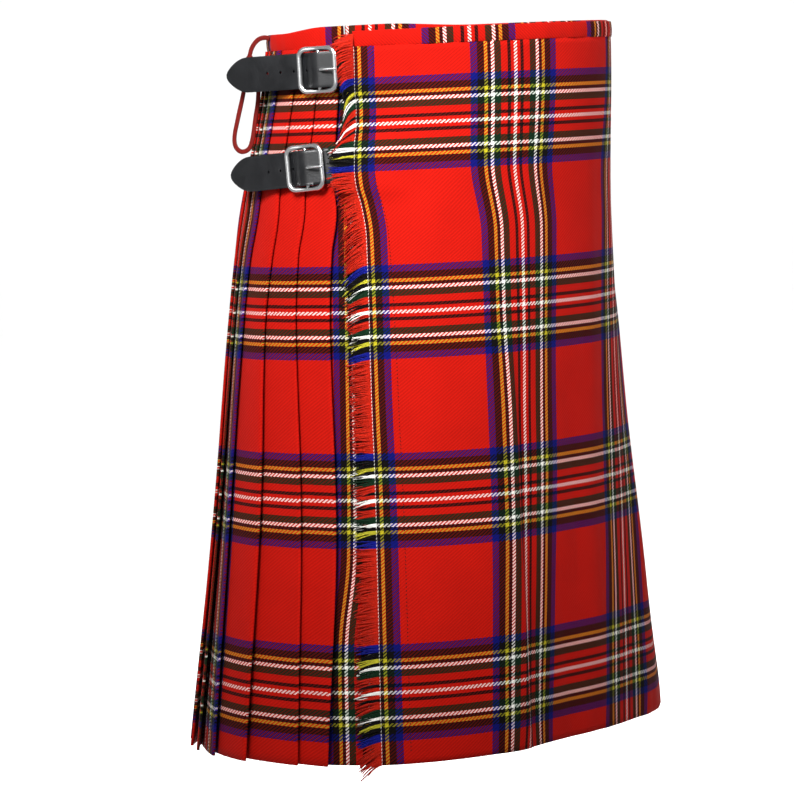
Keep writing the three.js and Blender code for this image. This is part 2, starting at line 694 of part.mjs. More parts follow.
// A rectangle's outline with round corners.
function roundedLoop(length, height, corner) {
  const points = [];
  const centres = [[1, 1, 0], [-1, 1, 1], [-1, -1, 2], [1, -1, 3]];
  for (const [sx, sy, quarter] of centres) {
    for (const share of [0, 1 / 3, 2 / 3, 1]) {
      const turn = (Math.PI / 2) * (quarter + share);
      points.push({
        a: sx * (length / 2 - corner) + corner * Math.cos(turn),
        b: sy * (height / 2 - corner) + corner * Math.sin(turn),
      });
    }
  }
  return points;
}

// The frame's long sides bow: the end bars stand further out than the centre bar.
const frameOut = (a) => CENTRE_BAR_OUT
  + (SIDE_BAR_OUT - CENTRE_BAR_OUT) * smooth(0, BUCKLE_LENGTH / 2 - BAR_RADIUS, Math.abs(a));

function buckleFrame(fastening) {
  const frame = hipFrame(fastening);
  const length = BUCKLE_LENGTH - 2 * BAR_RADIUS;
  const height = BUCKLE_HEIGHT - 2 * BAR_RADIUS;
  const outline = [];
  const loop = roundedLoop(length, height, BUCKLE_CORNER - BAR_RADIUS);
  loop.forEach((here, i) => {
    outline.push(here);
    const next = loop[(i + 1) % loop.length];
    if (Math.abs(next.a - here.a) > length / 2) {
      for (const u of [0.25, 0.5, 0.75]) outline.push({ a: here.a + (next.a - here.a) * u, b: here.b });
    }
  });
  const ring = bar(outline.map(({ a, b }) => frame.at(a, b, frameOut(a))), BAR_RADIUS, 8, {
    loop: true, up: frame.away,
  });
  const end = height / 2;
  const centre = bar([frame.at(0, -end, CENTRE_BAR_OUT), frame.at(0, end, CENTRE_BAR_OUT)],
    CENTRE_BAR_RADIUS, 8, { up: frame.away });
  return fromManifold(asManifold(ring).add(asManifold(centre)));
}

// The prong turns round the centre bar, comes up through the strap and rests on the near bar.
function prongPoints(frame) {
  const turn = CENTRE_BAR_RADIUS + SEAM + PRONG_RADIUS;
  const points = range(-200, 80, 7).map((degrees) => {
    const angle = THREE.MathUtils.degToRad(degrees);
    return frame.at(turn * Math.cos(angle), 0, CENTRE_BAR_OUT + turn * Math.sin(angle));
  });
  const near = -(BUCKLE_LENGTH / 2 - BAR_RADIUS);
  const rest = SIDE_BAR_OUT + BAR_RADIUS + SEAM + PRONG_RADIUS;
  points.push(frame.at(-3.5, 0, CENTRE_BAR_OUT + turn + 1.6));
  points.push(frame.at(-8, 0, rest + 1.4));
  points.push(frame.at(near, 0, rest));
  points.push(frame.at(near - 2.4, 0, rest - 0.7));
  return points;
}
function prong(fastening, radius = PRONG_RADIUS) {
  const frame = hipFrame(fastening);
  return bar(prongPoints(frame), radius, 6);
}

// The tab goes round the centre bar and back along the pleats, with a slot for the prong.
function tab(fastening) {
  const frame = hipFrame(fastening);
  const turn = CENTRE_BAR_RADIUS + SEAM + TAB_THICKNESS / 2;
  const low = CENTRE_BAR_OUT - turn;
  const sewn = UNDER_OUT + pleatRise(fastening.drop) + CLOTH / 2 + 2.5 * SEAM + TAB_THICKNESS / 2;
  const line = [{ a: 44, r: sewn }, { a: 34, r: sewn }, { a: 24, r: sewn }, { a: 15, r: sewn },
    { a: 4, r: low }];
  for (const degrees of range(-90, -270, 6)) {
    const angle = THREE.MathUtils.degToRad(degrees);
    line.push({ a: turn * Math.cos(angle), r: CENTRE_BAR_OUT + turn * Math.sin(angle) });
  }
  line.push({ a: 4.5, r: CENTRE_BAR_OUT + turn - 1.4 }, { a: 10, r: low + TAB_THICKNESS + 0.6 });
  const rings = line.map(({ a, r }, i) => {
    const before = line[Math.max(i - 1, 0)];
    const after = line[Math.min(i + 1, line.length - 1)];
    const normal = new THREE.Vector2(before.r - after.r, after.a - before.a).normalize();
    const shift = TAB_THICKNESS / 2;
    return [[-1, -1], [1, -1], [1, 1], [-1, 1]].map(([b, side]) => {
      const [x, y] = [a + side * normal.x * shift, (b * TAB_WIDTH) / 2];
      const out = r + side * normal.y * shift;
      const round = place(frame.along - x, out, frame.drop - y + x * frame.slope);
      return frame.at(x, y, out).lerp(round, smooth(6, 15, x));
    });
  });
  return asManifold(fromRings(rings));
}

for (const fastening of FASTENINGS) {
  const { name } = fastening;
  const clear = asManifold(prong(fastening, PRONG_RADIUS + SEAM));
  add(`strap_${name}`, fromManifold(strap(fastening).subtract(clear)), leather);
  add(`buckle_tab_${name}`, fromManifold(tab(fastening).subtract(clear)), leather);
  add(`buckle_frame_${name}`, buckleFrame(fastening), chrome);
  add(`buckle_prong_${name}`, prong(fastening), chrome);
}

// ---------------------------------------------------------------- hanging loop
// A flat ribbon along a route in the plane at LOOP_X.
function flatRibbon(route, loop) {
  const count = route.length;
  const rings = route.map((here, i) => {
    const before = route[loop ? (i - 1 + count) % count : Math.max(i - 1, 0)];
    const after = route[loop ? (i + 1) % count : Math.min(i + 1, count - 1)];
    const across = new THREE.Vector2(before.z - after.z, after.y - before.y).normalize();
    return [[-1, -1], [1, -1], [1, 1], [-1, 1]].map(([side, face]) => new THREE.Vector3(
      LOOP_X + (face * RIBBON_THICKNESS) / 2,
      here.y + (side * across.x * RIBBON_WIDTH) / 2,
      here.z + (side * across.y * RIBBON_WIDTH) / 2,
    ));
  });
  return asManifold(fromRings(rings, loop));
}
add('hanging_loop', fromManifold(flatRibbon(LOOP_STEM, false).add(flatRibbon(LOOP_RING, true))), ribbon);

export default kilt;
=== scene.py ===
# A pleated tartan kilt in its worn form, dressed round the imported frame. All lengths are metres.
import math

import bmesh
import bpy
import numpy as np
from mathutils import Matrix, Vector


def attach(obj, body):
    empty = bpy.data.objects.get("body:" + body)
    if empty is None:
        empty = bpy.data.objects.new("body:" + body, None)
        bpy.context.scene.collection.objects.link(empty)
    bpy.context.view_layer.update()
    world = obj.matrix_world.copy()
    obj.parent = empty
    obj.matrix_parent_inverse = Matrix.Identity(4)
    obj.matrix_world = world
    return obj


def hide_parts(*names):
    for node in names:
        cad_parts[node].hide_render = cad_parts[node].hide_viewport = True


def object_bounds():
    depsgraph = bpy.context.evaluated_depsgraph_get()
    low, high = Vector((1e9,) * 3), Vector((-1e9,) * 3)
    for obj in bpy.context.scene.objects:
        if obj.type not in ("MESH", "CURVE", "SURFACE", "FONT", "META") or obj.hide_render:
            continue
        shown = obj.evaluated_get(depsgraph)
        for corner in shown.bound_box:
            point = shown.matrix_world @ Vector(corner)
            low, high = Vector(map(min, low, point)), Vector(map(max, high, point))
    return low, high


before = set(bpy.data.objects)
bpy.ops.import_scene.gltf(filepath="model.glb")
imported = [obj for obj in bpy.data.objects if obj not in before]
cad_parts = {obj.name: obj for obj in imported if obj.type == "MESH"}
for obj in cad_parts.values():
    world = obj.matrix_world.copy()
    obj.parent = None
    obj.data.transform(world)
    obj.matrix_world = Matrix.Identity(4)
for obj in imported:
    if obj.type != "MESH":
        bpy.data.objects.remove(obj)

bl_info = {
    "name": "Tartan kilt",
    "version": (1, 0, 0),
    "blender": (4, 5, 0),
    "location": "View3D > Sidebar > Kilt",
    "description": "Builds a pleated tartan kilt in its worn form, with its fringe, straps and buckles",
    "category": "Mesh",
}

CAD_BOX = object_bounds()
BODY = "root"

# ------------------------------------------------------------------ the garment's own sizes
BAND_HEIGHT = 0.013
SKIRT_DROP = 0.597
SEAM_Z = -BAND_HEIGHT / 2
CLOTH = 0.0012
FOLD_STEP = 0.0015
FOLD_ROUND = 0.0009
GAP = 0.0003


def table(columns, *rows):
    """A short table: each row holds its values under the columns' names."""
    return [dict(zip(columns.split(), row)) for row in rows]


# The body's section by its height below the waist seam: its half sizes, and how square it is.
SECTIONS = table(
    "drop side front back front_power back_power",
    (-0.020, 0.151, 0.166, 0.113, 1.95, 2.2),
    (0.000, 0.151, 0.166, 0.115, 1.95, 2.2),
    (0.160, 0.163, 0.149, 0.157, 2.15, 2.2),
    (0.330, 0.1745, 0.1415, 0.1835, 2.4, 2.2),
    (0.600, 0.236, 0.1455, 0.206, 2.5, 2.2),
)

# The over apron's fringed edge and its folded edge, as distances round the body from its front.
APRON_EDGES = table(
    "drop fringed folded",
    (-0.020, 0.224, 0.232),
    (0.100, 0.224, 0.230),
    (0.160, 0.2155, 0.230),
    (0.330, 0.2195, 0.238),
    (0.600, 0.2505, 0.268),
)

# Soft waves of the skirt, out from the body, growing from the hip to just past the hem.
HEM_WAVES = table(
    "at width out from",
    (0.128, 0.046, 0.005, 0.120),
    (0.180, 0.060, -0.007, 0.250),
    (-0.118, 0.034, 0.005, 0.150),
    (-0.060, 0.070, -0.004, 0.260),
    (0.020, 0.060, 0.004, 0.320),
    (0.262, 0.070, 0.009, 0.300),
)
WAVES_FULL_AT = SKIRT_DROP + 0.06

# Creases of both aprons: their ends' heights, their distance from the fringed edge there and halfway,
# how far out, the widths of the near and far slopes, and how far the crest leans over the far one.
APRON_CREASES = table(
    "top bottom near middle end out before after lean",
    (0.22, 0.62, 0.119, 0.124, 0.138, 0.0030, 0.032, 0.0052, 0.0022),
    (0.24, 0.62, 0.130, 0.136, 0.152, -0.0016, 0.006, 0.024, 0.0),
    (0.02, 0.16, 0.048, 0.060, 0.078, 0.0012, 0.012, 0.010, 0.0),
    (0.10, 0.42, 0.060, 0.052, 0.046, 0.0018, 0.020, 0.016, 0.0),
    (0.06, 0.60, 0.226, 0.232, 0.246, 0.0020, 0.026, 0.018, 0.0),
    (0.16, 0.62, 0.352, 0.345, 0.338, 0.0032, 0.016, 0.030, 0.0),
    (0.28, 0.62, 0.410, 0.414, 0.424, 0.0030, 0.026, 0.014, 0.001),
)
# How far a crease takes to rise below its top, to sink at its bottom, and to lean before its crest.
CREASE_RISES, CREASE_SINKS, CREASE_PAST, CREASE_LEANS = 0.10, 0.05, 0.01, 0.02

# Knife pleats, counted from the left hip. The last four have their own distances from the fringed
# edge, and the cloth's place in the sett at their folds.
PLEAT_COUNT = 22
PLEAT_DEPTH_SHARE = 0.8
PLEAT_UNEVEN = 0.09
RIGHT_FOLDS = table(
    "drop first second third fourth",
    (0.000, 0.011, 0.032, 0.054, 0.078),
    (0.060, 0.015, 0.038, 0.065, 0.091),
    (0.130, 0.020, 0.051, 0.081, 0.111),
    (0.175, 0.030, 0.064, 0.095, 0.130),
    (0.240, 0.034, 0.069, 0.107, 0.144),
    (0.400, 0.033, 0.068, 0.115, 0.164),
    (0.600, 0.042, 0.070, 0.126, 0.171),
)
PLEAT_RISES = table("drop rise", (0.000, 0.0054), (0.220, 0.0058), (0.600, 0.0095))
# How far under the last fold the under apron is joined to the pleats.
JOIN_BACK = 0.007

# The tartan: thread counts from the white pivot to the middle of the red field, half the sett.
SETT = [
    ("white", 2), ("red", 4), ("black", 4), ("red", 8), ("green", 8), ("white", 4),
    ("black", 4), ("yellow", 4), ("black", 8), ("blue", 8), ("red", 54),
]
HALF_SETT = sum(count for _, count in SETT)
THREAD = 0.0007292
SETT_LENGTH = 2 * HALF_SETT * THREAD
# Where the pivots lie: below the waist seam, and inside the over apron's fringed edge.
FIRST_PIVOT_DROP = 0.0658
APRON_PIVOT = 0.1378
# The blue stripe's outer edge, at which the fourth fold lies.
BLUE_EDGE = SETT[-1][1] * THREAD
# Red shown behind the last three folds, which are cut from one field of the cloth.
RED_BEHIND = {"third": 0.050, "second": 0.063, "first": 0.072}
PLEAT_SHOWS = SETT_LENGTH / 6
# The middle of the under apron's band of stripes, from the front's middle.
UNDER_STRIPES = table(
    "drop middle",
    (0.000, -0.203), (0.185, -0.2080), (0.338, -0.2160),
    (0.429, -0.2262), (0.500, -0.2440), (0.600, -0.2575),
)
BAND_PIVOT = 0.0984
INNER_BAND_PIVOT = -0.209

# Straps and buckles. A fastening's drop is its centre bar's, tail the strap's length past that bar,
# and stand_off how much further out it lies because the hip widens below it.
FASTENINGS = table(
    "name drop from_edge stand_off slope tail holes",
    ("upper", 0.018, 0.027, 0.0008, 0.018, 0.103, 4),
    ("lower", 0.100, 0.0385, 0.0018, 0.06, 0.091, 3),
)
STRAP_WIDTH = 0.030
STRAP_THICKNESS = 0.0023
STRAP_HIDDEN = 0.026
STRAP_POINT = 0.026
BUCKLE_LENGTH = 0.040
BUCKLE_HEIGHT = 0.040
BUCKLE_CORNER = 0.0088
BAR_RADIUS = 0.0022
BAR_HALF_DEPTH = 0.0019
CENTRE_BAR_RADIUS = 0.0019
CENTRE_BAR_OUT = 0.0112
SIDE_BAR_OUT = 0.014
PRONG_RADIUS = 0.0013
HOLE_RADIUS = 0.0012
HOLE_FROM_TIP = 0.0475
HOLE_PITCH = 0.0146
TAB_THICKNESS = 0.0014

# The hanging loop's route in y and z, in the plane at LOOP_X.
LOOP_X = -0.127
RIBBON_WIDTH = 0.004
RIBBON_THICKNESS = 0.0009
LOOP_STEM = [(0.0755, 0.0045), (0.081, 0.0055), (0.088, 0.0035), (0.094, -0.0025), (0.0975, -0.011)]
LOOP_RING = [
    (0.0975, -0.010), (0.1015, -0.027), (0.106, -0.044), (0.112, -0.0625), (0.1165, -0.078),
    (0.1158, -0.087), (0.110, -0.0915), (0.1025, -0.0895), (0.098, -0.081), (0.094, -0.063),
    (0.090, -0.045), (0.0895, -0.024),
]

UNDER_OUT = CLOTH / 2
OVER_OUT = UNDER_OUT + CLOTH + 0.0007
STRAP_LIFT = 0.0032
# How much further out the over apron's folded edge lies than the pleats' folds, and its crease.
EDGE_RISE = 0.0004
CREASE_RISE = 0.00035

# Fringe: how far its threads reach and how steeply they hang, by height.
FRINGE_HANG = table(
    "drop reach slope",
    (-0.0105, 0.0165, 0.25), (0.000, 0.014, 0.5), (0.028, 0.011, 0.9), (0.044, 0.017, 1.9),
    (0.060, 0.018, 1.6), (0.074, 0.018, 0.9), (0.086, 0.017, 0.15), (0.110, 0.017, 0.1),
    (0.135, 0.020, 0.45), (0.170, 0.0225, 0.6), (0.230, 0.0195, 0.3), (0.300, 0.0180, 0.12),
    (0.480, 0.0178, 0.18), (0.565, 0.0185, 0.3), (0.597, 0.0195, 0.75),
)


# ------------------------------------------------------------------ tables and the body
def column(rows, name):
    """A column of a table as a smooth function of the drop."""
    drops = np.array([row["drop"] for row in rows])
    values = np.array([row[name] for row in rows])
    spans = np.diff(drops)
    straight = np.diff(values) / spans
    slopes = np.concatenate([straight[:1], np.zeros(len(values) - 2), straight[-1:]])
    for i in range(1, len(values) - 1):
        before, after = straight[i - 1], straight[i]
        if before * after > 0:
            slopes[i] = 2 * before * after / (before + after)

    def at(drop):
        i = int(np.clip(np.searchsorted(drops, drop, side="right") - 1, 0, len(spans) - 1))
        u = min(max((drop - drops[i]) / spans[i], 0.0), 1.0)
        return ((2 * u**3 - 3 * u**2 + 1) * values[i] + (u**3 - 2 * u**2 + u) * slopes[i] * spans[i]
                + (3 * u**2 - 2 * u**3) * values[i + 1] + (u**3 - u**2) * slopes[i + 1] * spans[i])

    return at


SHAPE = {name: column(SECTIONS, name) for name in ("side", "front", "back", "front_power", "back_power")}
fringed_edge = column(APRON_EDGES, "fringed")
folded_edge = column(APRON_EDGES, "folded")
pleat_rise = column(PLEAT_RISES, "rise")
under_middle = column(UNDER_STRIPES, "middle")
RIGHT_FOLD_NAMES = ("fourth", "third", "second", "first")
right_folds = [column(RIGHT_FOLDS, name) for name in RIGHT_FOLD_NAMES]
fringe_reach = column(FRINGE_HANG, "reach")
fringe_slope = column(FRINGE_HANG, "slope")


def smooth(start, end, x):
    u = np.clip((np.asarray(x, float) - start) / (end - start), 0, 1)
    return u * u * (3 - 2 * u)


def bump(x, width):
    return np.exp(-((np.asarray(x, float) / width) ** 2))


STEPS = 720
sections = {}


def section_at(drop):
    """One section of the body, walked from the front's middle to the wearer's left."""
    key = round(float(drop), 4)
    if key not in sections:
        turn = np.linspace(0, 2 * math.pi, STEPS + 1)
        c, s = np.cos(turn), np.sin(turn)
        ahead = c > 0
        power = np.where(ahead, 2 / SHAPE["front_power"](key), 2 / SHAPE["back_power"](key))
        depth = np.where(ahead, SHAPE["front"](key), SHAPE["back"](key))
        x = SHAPE["side"](key) * np.sign(s) * np.abs(s) ** power
        y = -depth * np.sign(c) * np.abs(c) ** power
        lengths = np.concatenate([[0], np.cumsum(np.hypot(np.diff(x), np.diff(y)))])
        before = np.concatenate([[STEPS - 1], np.arange(STEPS)])
        after = np.concatenate([np.arange(1, STEPS + 1), [1]])
        tangent = np.stack([x[after] - x[before], y[after] - y[before]])
        tangent /= np.hypot(*tangent)
        sections[key] = {"x": x, "y": y, "lengths": lengths, "tangent": tangent, "girth": lengths[-1]}
    return sections[key]


def girth_at(drop):
    return section_at(drop)["girth"]


def on_section(along, drop):
    """Points, tangents and outward directions at distances round one section."""
    section = section_at(drop)
    s = np.mod(along, section["girth"])
    x, y, tx, ty = (np.interp(s, section["lengths"], values)
                    for values in (section["x"], section["y"], *section["tangent"]))
    size = np.hypot(tx, ty)
    return np.stack([x, y], -1), np.stack([tx / size, ty / size], -1), np.stack([ty / size, -tx / size], -1)


def wave_out(along, drop):
    return sum(wave["out"] * bump(along - wave["at"], wave["width"])
               * smooth(wave["from"], WAVES_FULL_AT, drop) for wave in HEM_WAVES)


def place(along, out, drop, lift=0.0):
    """Places on the garment: along the body, out from it and down, raised by lift."""
    along = np.asarray(along, float)
    point, _, away = on_section(along, drop)
    far = out + wave_out(along, drop)
    z = np.broadcast_to(SEAM_Z - drop + lift, along.shape)
    return np.concatenate([point + away * np.asarray(far)[..., None], z[..., None]], -1)


def apron_crease(from_edge, drop):
    """How far the aprons' creases stand out and lean at places on one height."""
    out = np.zeros_like(from_edge)
    lean = np.zeros_like(from_edge)
    for crease in APRON_CREASES:
        middle_drop = (crease["top"] + crease["bottom"]) / 2
        at = np.interp(drop, [crease["top"], middle_drop, crease["bottom"]],
                       [crease["near"], crease["middle"], crease["end"]])
        shown = float(smooth(crease["top"], crease["top"] + CREASE_RISES, drop))
        shown *= float(1 - smooth(crease["bottom"] - CREASE_SINKS, crease["bottom"] + CREASE_PAST, drop))
        side = np.where(from_edge < at, crease["before"], crease["after"])
        profile = np.exp(-(((from_edge - at) / side) ** 2)) * shown
        out += crease["out"] * profile
        lean += crease["lean"] * profile * smooth(at - CREASE_LEANS, at, from_edge)
    return out, lean


RIPPLE_HEIGHT = 0.00035
RIPPLE_SEED = 1.0


def soft_ripple(along, drop):
    """The small unevenness of hanging cloth: two crossing ripples that grow down the skirt."""
    grows = 0.4 + float(smooth(0.0, 0.5, drop))
    return RIPPLE_HEIGHT * grows * (np.sin(along * 61 + drop * 9 + RIPPLE_SEED)
                                    + 0.6 * np.sin(along * 113 - drop * 23 + 2.1 * RIPPLE_SEED))


PUCKER_HEIGHT, PUCKER_PITCH = 0.0005, 0.0115
PUCKER_MIDDLE, PUCKER_WIDTH = 0.038, 0.020


def seam_puckers(from_edge, drop):
    """Small level wrinkles under the waistband, where the edge turning is caught in the seam."""
    fades = float(smooth(0.0, 0.006, drop) * (1 - smooth(0.026, 0.040, drop)))
    return (PUCKER_HEIGHT * fades * bump(from_edge - PUCKER_MIDDLE, PUCKER_WIDTH)
            * (1 + math.sin(2 * math.pi * drop / PUCKER_PITCH)))


def past_strap(fastening, drop):
    """How far a height lies above or below a strap's nearer edge, negative on the strap."""
    return abs(drop - fastening["drop"]) - STRAP_WIDTH / 2


def strap_lift(from_edge, drop):
    """How far the over apron lifts where a strap runs behind its fringed edge."""
    lift = max(STRAP_LIFT * float(1 - smooth(0.003, 0.017, past_strap(fastening, drop)))
               for fastening in FASTENINGS)
    return lift * (1 - smooth(0.002, 0.030, np.asarray(from_edge) - STRAP_HIDDEN))


def pleat_pitch(drop):
    return (girth_at(drop) - fringed_edge(drop) - folded_edge(drop)) / PLEAT_COUNT


def fold_depth(drop):
    return PLEAT_DEPTH_SHARE * pleat_pitch(drop)


def folds_at(drop):
    """Folds counted from the left hip, as distances round the body."""
    edge = girth_at(drop) - fringed_edge(drop)
    given = [edge - fold(drop) for fold in right_folds]
    start = folded_edge(drop)
    shared = PLEAT_COUNT - len(given)
    pitch = (given[0] - start) / (shared + 1)
    uneven = float(smooth(0.15, SKIRT_DROP, drop)) * PLEAT_UNEVEN
    return [start + pitch * (i + 1 + uneven * math.sin(2.4 * i + 0.7)) for i in range(shared)] + given


# ------------------------------------------------------------------ meshes
UV_NAME = "Cloth"


def mapped_grid(bm, points, cloth=None, wrap=False):
    """Adds a grid to the bmesh, its vertices laid on points[row][column], seen from outside with the
    rows going down. cloth gives each its place on the flat cloth."""
    rows, columns = points.shape[:2]
    made = bmesh.ops.create_grid(bm, x_segments=columns - 1, y_segments=rows - 1, size=0.5)["verts"]
    layer = bm.loops.layers.uv.verify()
    spots = {}
    for vert in made:
        i = round((0.5 - vert.co.y) * (rows - 1))
        j = round((vert.co.x + 0.5) * (columns - 1))
        spots[vert] = (i, j)
    if cloth is not None:
        for face in {face for vert in made for face in vert.link_faces}:
            for loop in face.loops:
                loop[layer].uv = cloth[spots[loop.vert]]
    for vert, spot in spots.items():
        vert.co = points[spot]
    if wrap:
        bmesh.ops.remove_doubles(bm, verts=made, dist=1e-7)


def curve_through(points, count, loop=False):
    """Evenly spaced points on a smooth curve through a short list of points."""
    p = np.asarray(points, float)
    ends = [p[-1], p[0], p[1]] if loop else [2 * p[0] - p[1], None, 2 * p[-1] - p[-2]]
    padded = np.vstack([ends[0], p, ends[1], ends[2]]) if loop else np.vstack([ends[0], p, ends[2]])
    t = np.linspace(0, 1, 17)[:-1, None]
    pieces = []
    for a, b, c, d in zip(padded, padded[1:], padded[2:], padded[3:]):
        pieces.append(0.5 * (2 * b + (c - a) * t + (2 * a - 5 * b + 4 * c - d) * t**2
                             + (3 * b - 3 * c + d - a) * t**3))
    dense = np.vstack(pieces + [padded[-2][None]])
    lengths = np.concatenate([[0], np.cumsum(np.linalg.norm(np.diff(dense, axis=0), axis=1))])
    at = np.linspace(0, lengths[-1], count + 1)[:-1] if loop else np.linspace(0, lengths[-1], count)
    return np.stack([np.interp(at, lengths, axis) for axis in dense.T], -1)


def tube(bm, line, across, up, sides, loop=False, shares=None, cloth=None):
    """Adds a tube round a line: across and up are its half sizes, up being along a direction that the
    line never takes. An open tube has round closed ends."""
    count = len(line)
    tangent = (np.roll(line, -1, 0) - np.roll(line, 1, 0)) if loop else np.gradient(line, axis=0)
    tangent /= np.linalg.norm(tangent, axis=1)[:, None]
    side = np.cross(tangent, np.asarray(up[0], float))
    side /= np.linalg.norm(side, axis=1)[:, None]
    over = np.cross(side, tangent)
    turn = np.linspace(0, 2 * math.pi, sides + 1)
    size = np.ones(count) if shares is None else np.asarray(shares, float)
    rings = (line[:, None, :]
             + side[:, None, :] * (across * size)[:, None, None] * np.cos(turn)[None, :, None]
             + over[:, None, :] * (up[1] * size)[:, None, None] * np.sin(turn)[None, :, None])
    rings[:, -1] = rings[:, 0]
    if loop:
        rings = np.concatenate([rings, rings[:1]])
    else:
        rings = np.concatenate([np.broadcast_to(line[0], rings[:1].shape), rings,
                                np.broadcast_to(line[-1], rings[:1].shape)])
    flat = None if cloth is None else np.broadcast_to(cloth, rings.shape[:2] + (2,))
    mapped_grid(bm, rings, flat, wrap=True)


def linear(hex_colour):
    """An sRGB hex colour as linear RGB."""
    values = [int(hex_colour[i:i + 2], 16) / 255 for i in (1, 3, 5)]
    return [v / 12.92 if v <= 0.04045 else ((v + 0.055) / 1.055) ** 2.4 for v in values]


def mesh_from(name, bm):
    """A new mesh of the bmesh, which is freed."""
    mesh = bpy.data.meshes.new(name)
    bm.to_mesh(mesh)
    bm.free()
    return mesh


def link_new(name, data):
    """A new object of its data, in the scene."""
    obj = bpy.data.objects.new(name, data)
    bpy.context.scene.collection.objects.link(obj)
    return obj


def finish_piece(name, bm, material, nodes=(), closed=False):
    """Makes the bmesh an object at the origin that rides on the body and stands for its nodes."""
    if closed:
        bmesh.ops.recalc_face_normals(bm, faces=bm.faces)
    mesh = mesh_from(name, bm)
    if mesh.uv_layers:
        mesh.uv_layers[0].name = UV_NAME
    mesh.materials.append(material)
    mesh.shade_smooth()
    obj = link_new(name, mesh)
    if nodes:
        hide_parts(*nodes)
    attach(obj, BODY)
    return obj


def solidify(obj, thickness):
    wall = obj.modifiers.new("Thickness", "SOLIDIFY")
    wall.thickness = thickness
    wall.offset = 0
    return wall


# ------------------------------------------------------------------ materials
def add_node(tree, kind, links=None, **settings):
    """Adds a node: settings are its own, and links gives each socket a value or another's output."""
    node = tree.nodes.new(kind)
    for name, value in settings.items():
        setattr(node, name, value)
    for socket, value in (links or {}).items():
        if isinstance(value, bpy.types.NodeSocket):
            tree.links.new(value, node.inputs[socket])
        else:
            node.inputs[socket].default_value = value
    return node


def add_math(tree, operation, *values):
    return add_node(tree, "ShaderNodeMath", dict(enumerate(values)), operation=operation).outputs[0]


def add_scaled(tree, vector, scale):
    """A place or a colour, times one value."""
    return add_node(tree, "ShaderNodeVectorMath", {0: vector, "Scale": scale}, operation="SCALE").outputs[0]


def add_spread(tree, value, lowest, highest, least=0.3):
    """Noise, which seldom leaves least to 0.7, spread from lowest to highest."""
    return add_node(tree, "ShaderNodeMapRange", {"Value": value, "From Min": least, "From Max": 0.7,
                                                 "To Min": lowest, "To Max": highest}).outputs[0]


def add_noise(tree, place_on, scale, detail, roughness=0.5):
    return add_node(tree, "ShaderNodeTexNoise", {"Vector": place_on, "Scale": scale, "Detail": detail,
                                                 "Roughness": roughness}).outputs[0]


def add_choice(tree, share, first, second, kind="RGBA"):
    """The first of two colours or values where share is 0, and the second where it is 1."""
    sockets, result = {"RGBA": ((6, 7), 2), "FLOAT": ((2, 3), 0)}[kind]
    return add_node(tree, "ShaderNodeMix", {0: share, sockets[0]: first, sockets[1]: second},
                    data_type=kind).outputs[result]


def new_material(name, looks):
    """A material's node tree and shader, with the plain looks set on the shader's sockets."""
    material = bpy.data.materials.new(name)
    material.use_nodes = True
    shader = material.node_tree.nodes["Principled BSDF"]
    for socket, value in looks.items():
        shader.inputs[socket].default_value = value
    return material, material.node_tree, shader


def dress(tree, shader, height=None, strength=0.3, distance=0.0002, **looks):
    """Links the worked-out colour and roughness to the shader, and a height as relief."""
    if height is not None:
        relief = add_node(tree, "ShaderNodeBump", {"Height": height, "Strength": strength,
                                                   "Distance": distance})
        tree.links.new(relief.outputs[0], shader.inputs["Normal"])
    for socket, value in looks.items():
        tree.links.new(value, shader.inputs[socket.replace("_", " ")])


def cloth_place(tree):
    return add_node(tree, "ShaderNodeUVMap", uv_map=UV_NAME).outputs[0]


def object_place(tree):
    return add_node(tree, "ShaderNodeTexCoord").outputs["Object"]


def sett_place(tree, position):
    """A thread's place in the half sett, mirrored at both pivots, and the thread's number."""
    thread = add_math(tree, "FLOOR", position)
    folded = add_math(tree, "PINGPONG", add_math(tree, "ADD", thread, 0.5), HALF_SETT)
    return add_math(tree, "DIVIDE", folded, HALF_SETT), thread


def sett_ramp(tree, share, colours):
    """The colour, with its alpha, that a thread at this place in the half sett has."""
    ramp = add_node(tree, "ShaderNodeValToRGB", {0: share})
    ramp.color_ramp.interpolation = "CONSTANT"
    stops = ramp.color_ramp.elements
    stops.remove(stops[1])
    passed = 0
    for i, (colour, count) in enumerate(SETT):
        stop = stops[0] if i == 0 else stops.new(passed / HALF_SETT)
        stop.color = colours[colour]
        passed += count
    return ramp.outputs["Color"], ramp.outputs["Alpha"]


# A float is darkened and tinted by the threads it lies between: partly their colour mixed in, partly painted
# shade in the grooves at its edges. These are the tint and painted shade that each colour gives its
# neighbours, and how much of theirs it takes. It makes red over black nearly black and yellow over red
# orange.
TINT_AND_SHADE_GIVEN = {
    "white": (1, 1, 1, 1), "red": (1, 0.4, 0.4, 1), "black": (0.19, 0.19, 0.19, 1),
    "green": (0.2, 0.36, 0.25, 1), "yellow": (1, 0.9, 0.3, 1), "blue": (0.34, 0.15, 0.4, 1),
}
TINT_AND_SHADE_TAKEN = {"white": 0.45, "red": 1.0, "black": 0.0, "green": 0.35, "yellow": 0.72, "blue": 0.6}
# Threads in one repeat of the twill, of which the warp lies over the first two.
TWILL_REPEAT, WARP_OVER = 4.0, 1.5


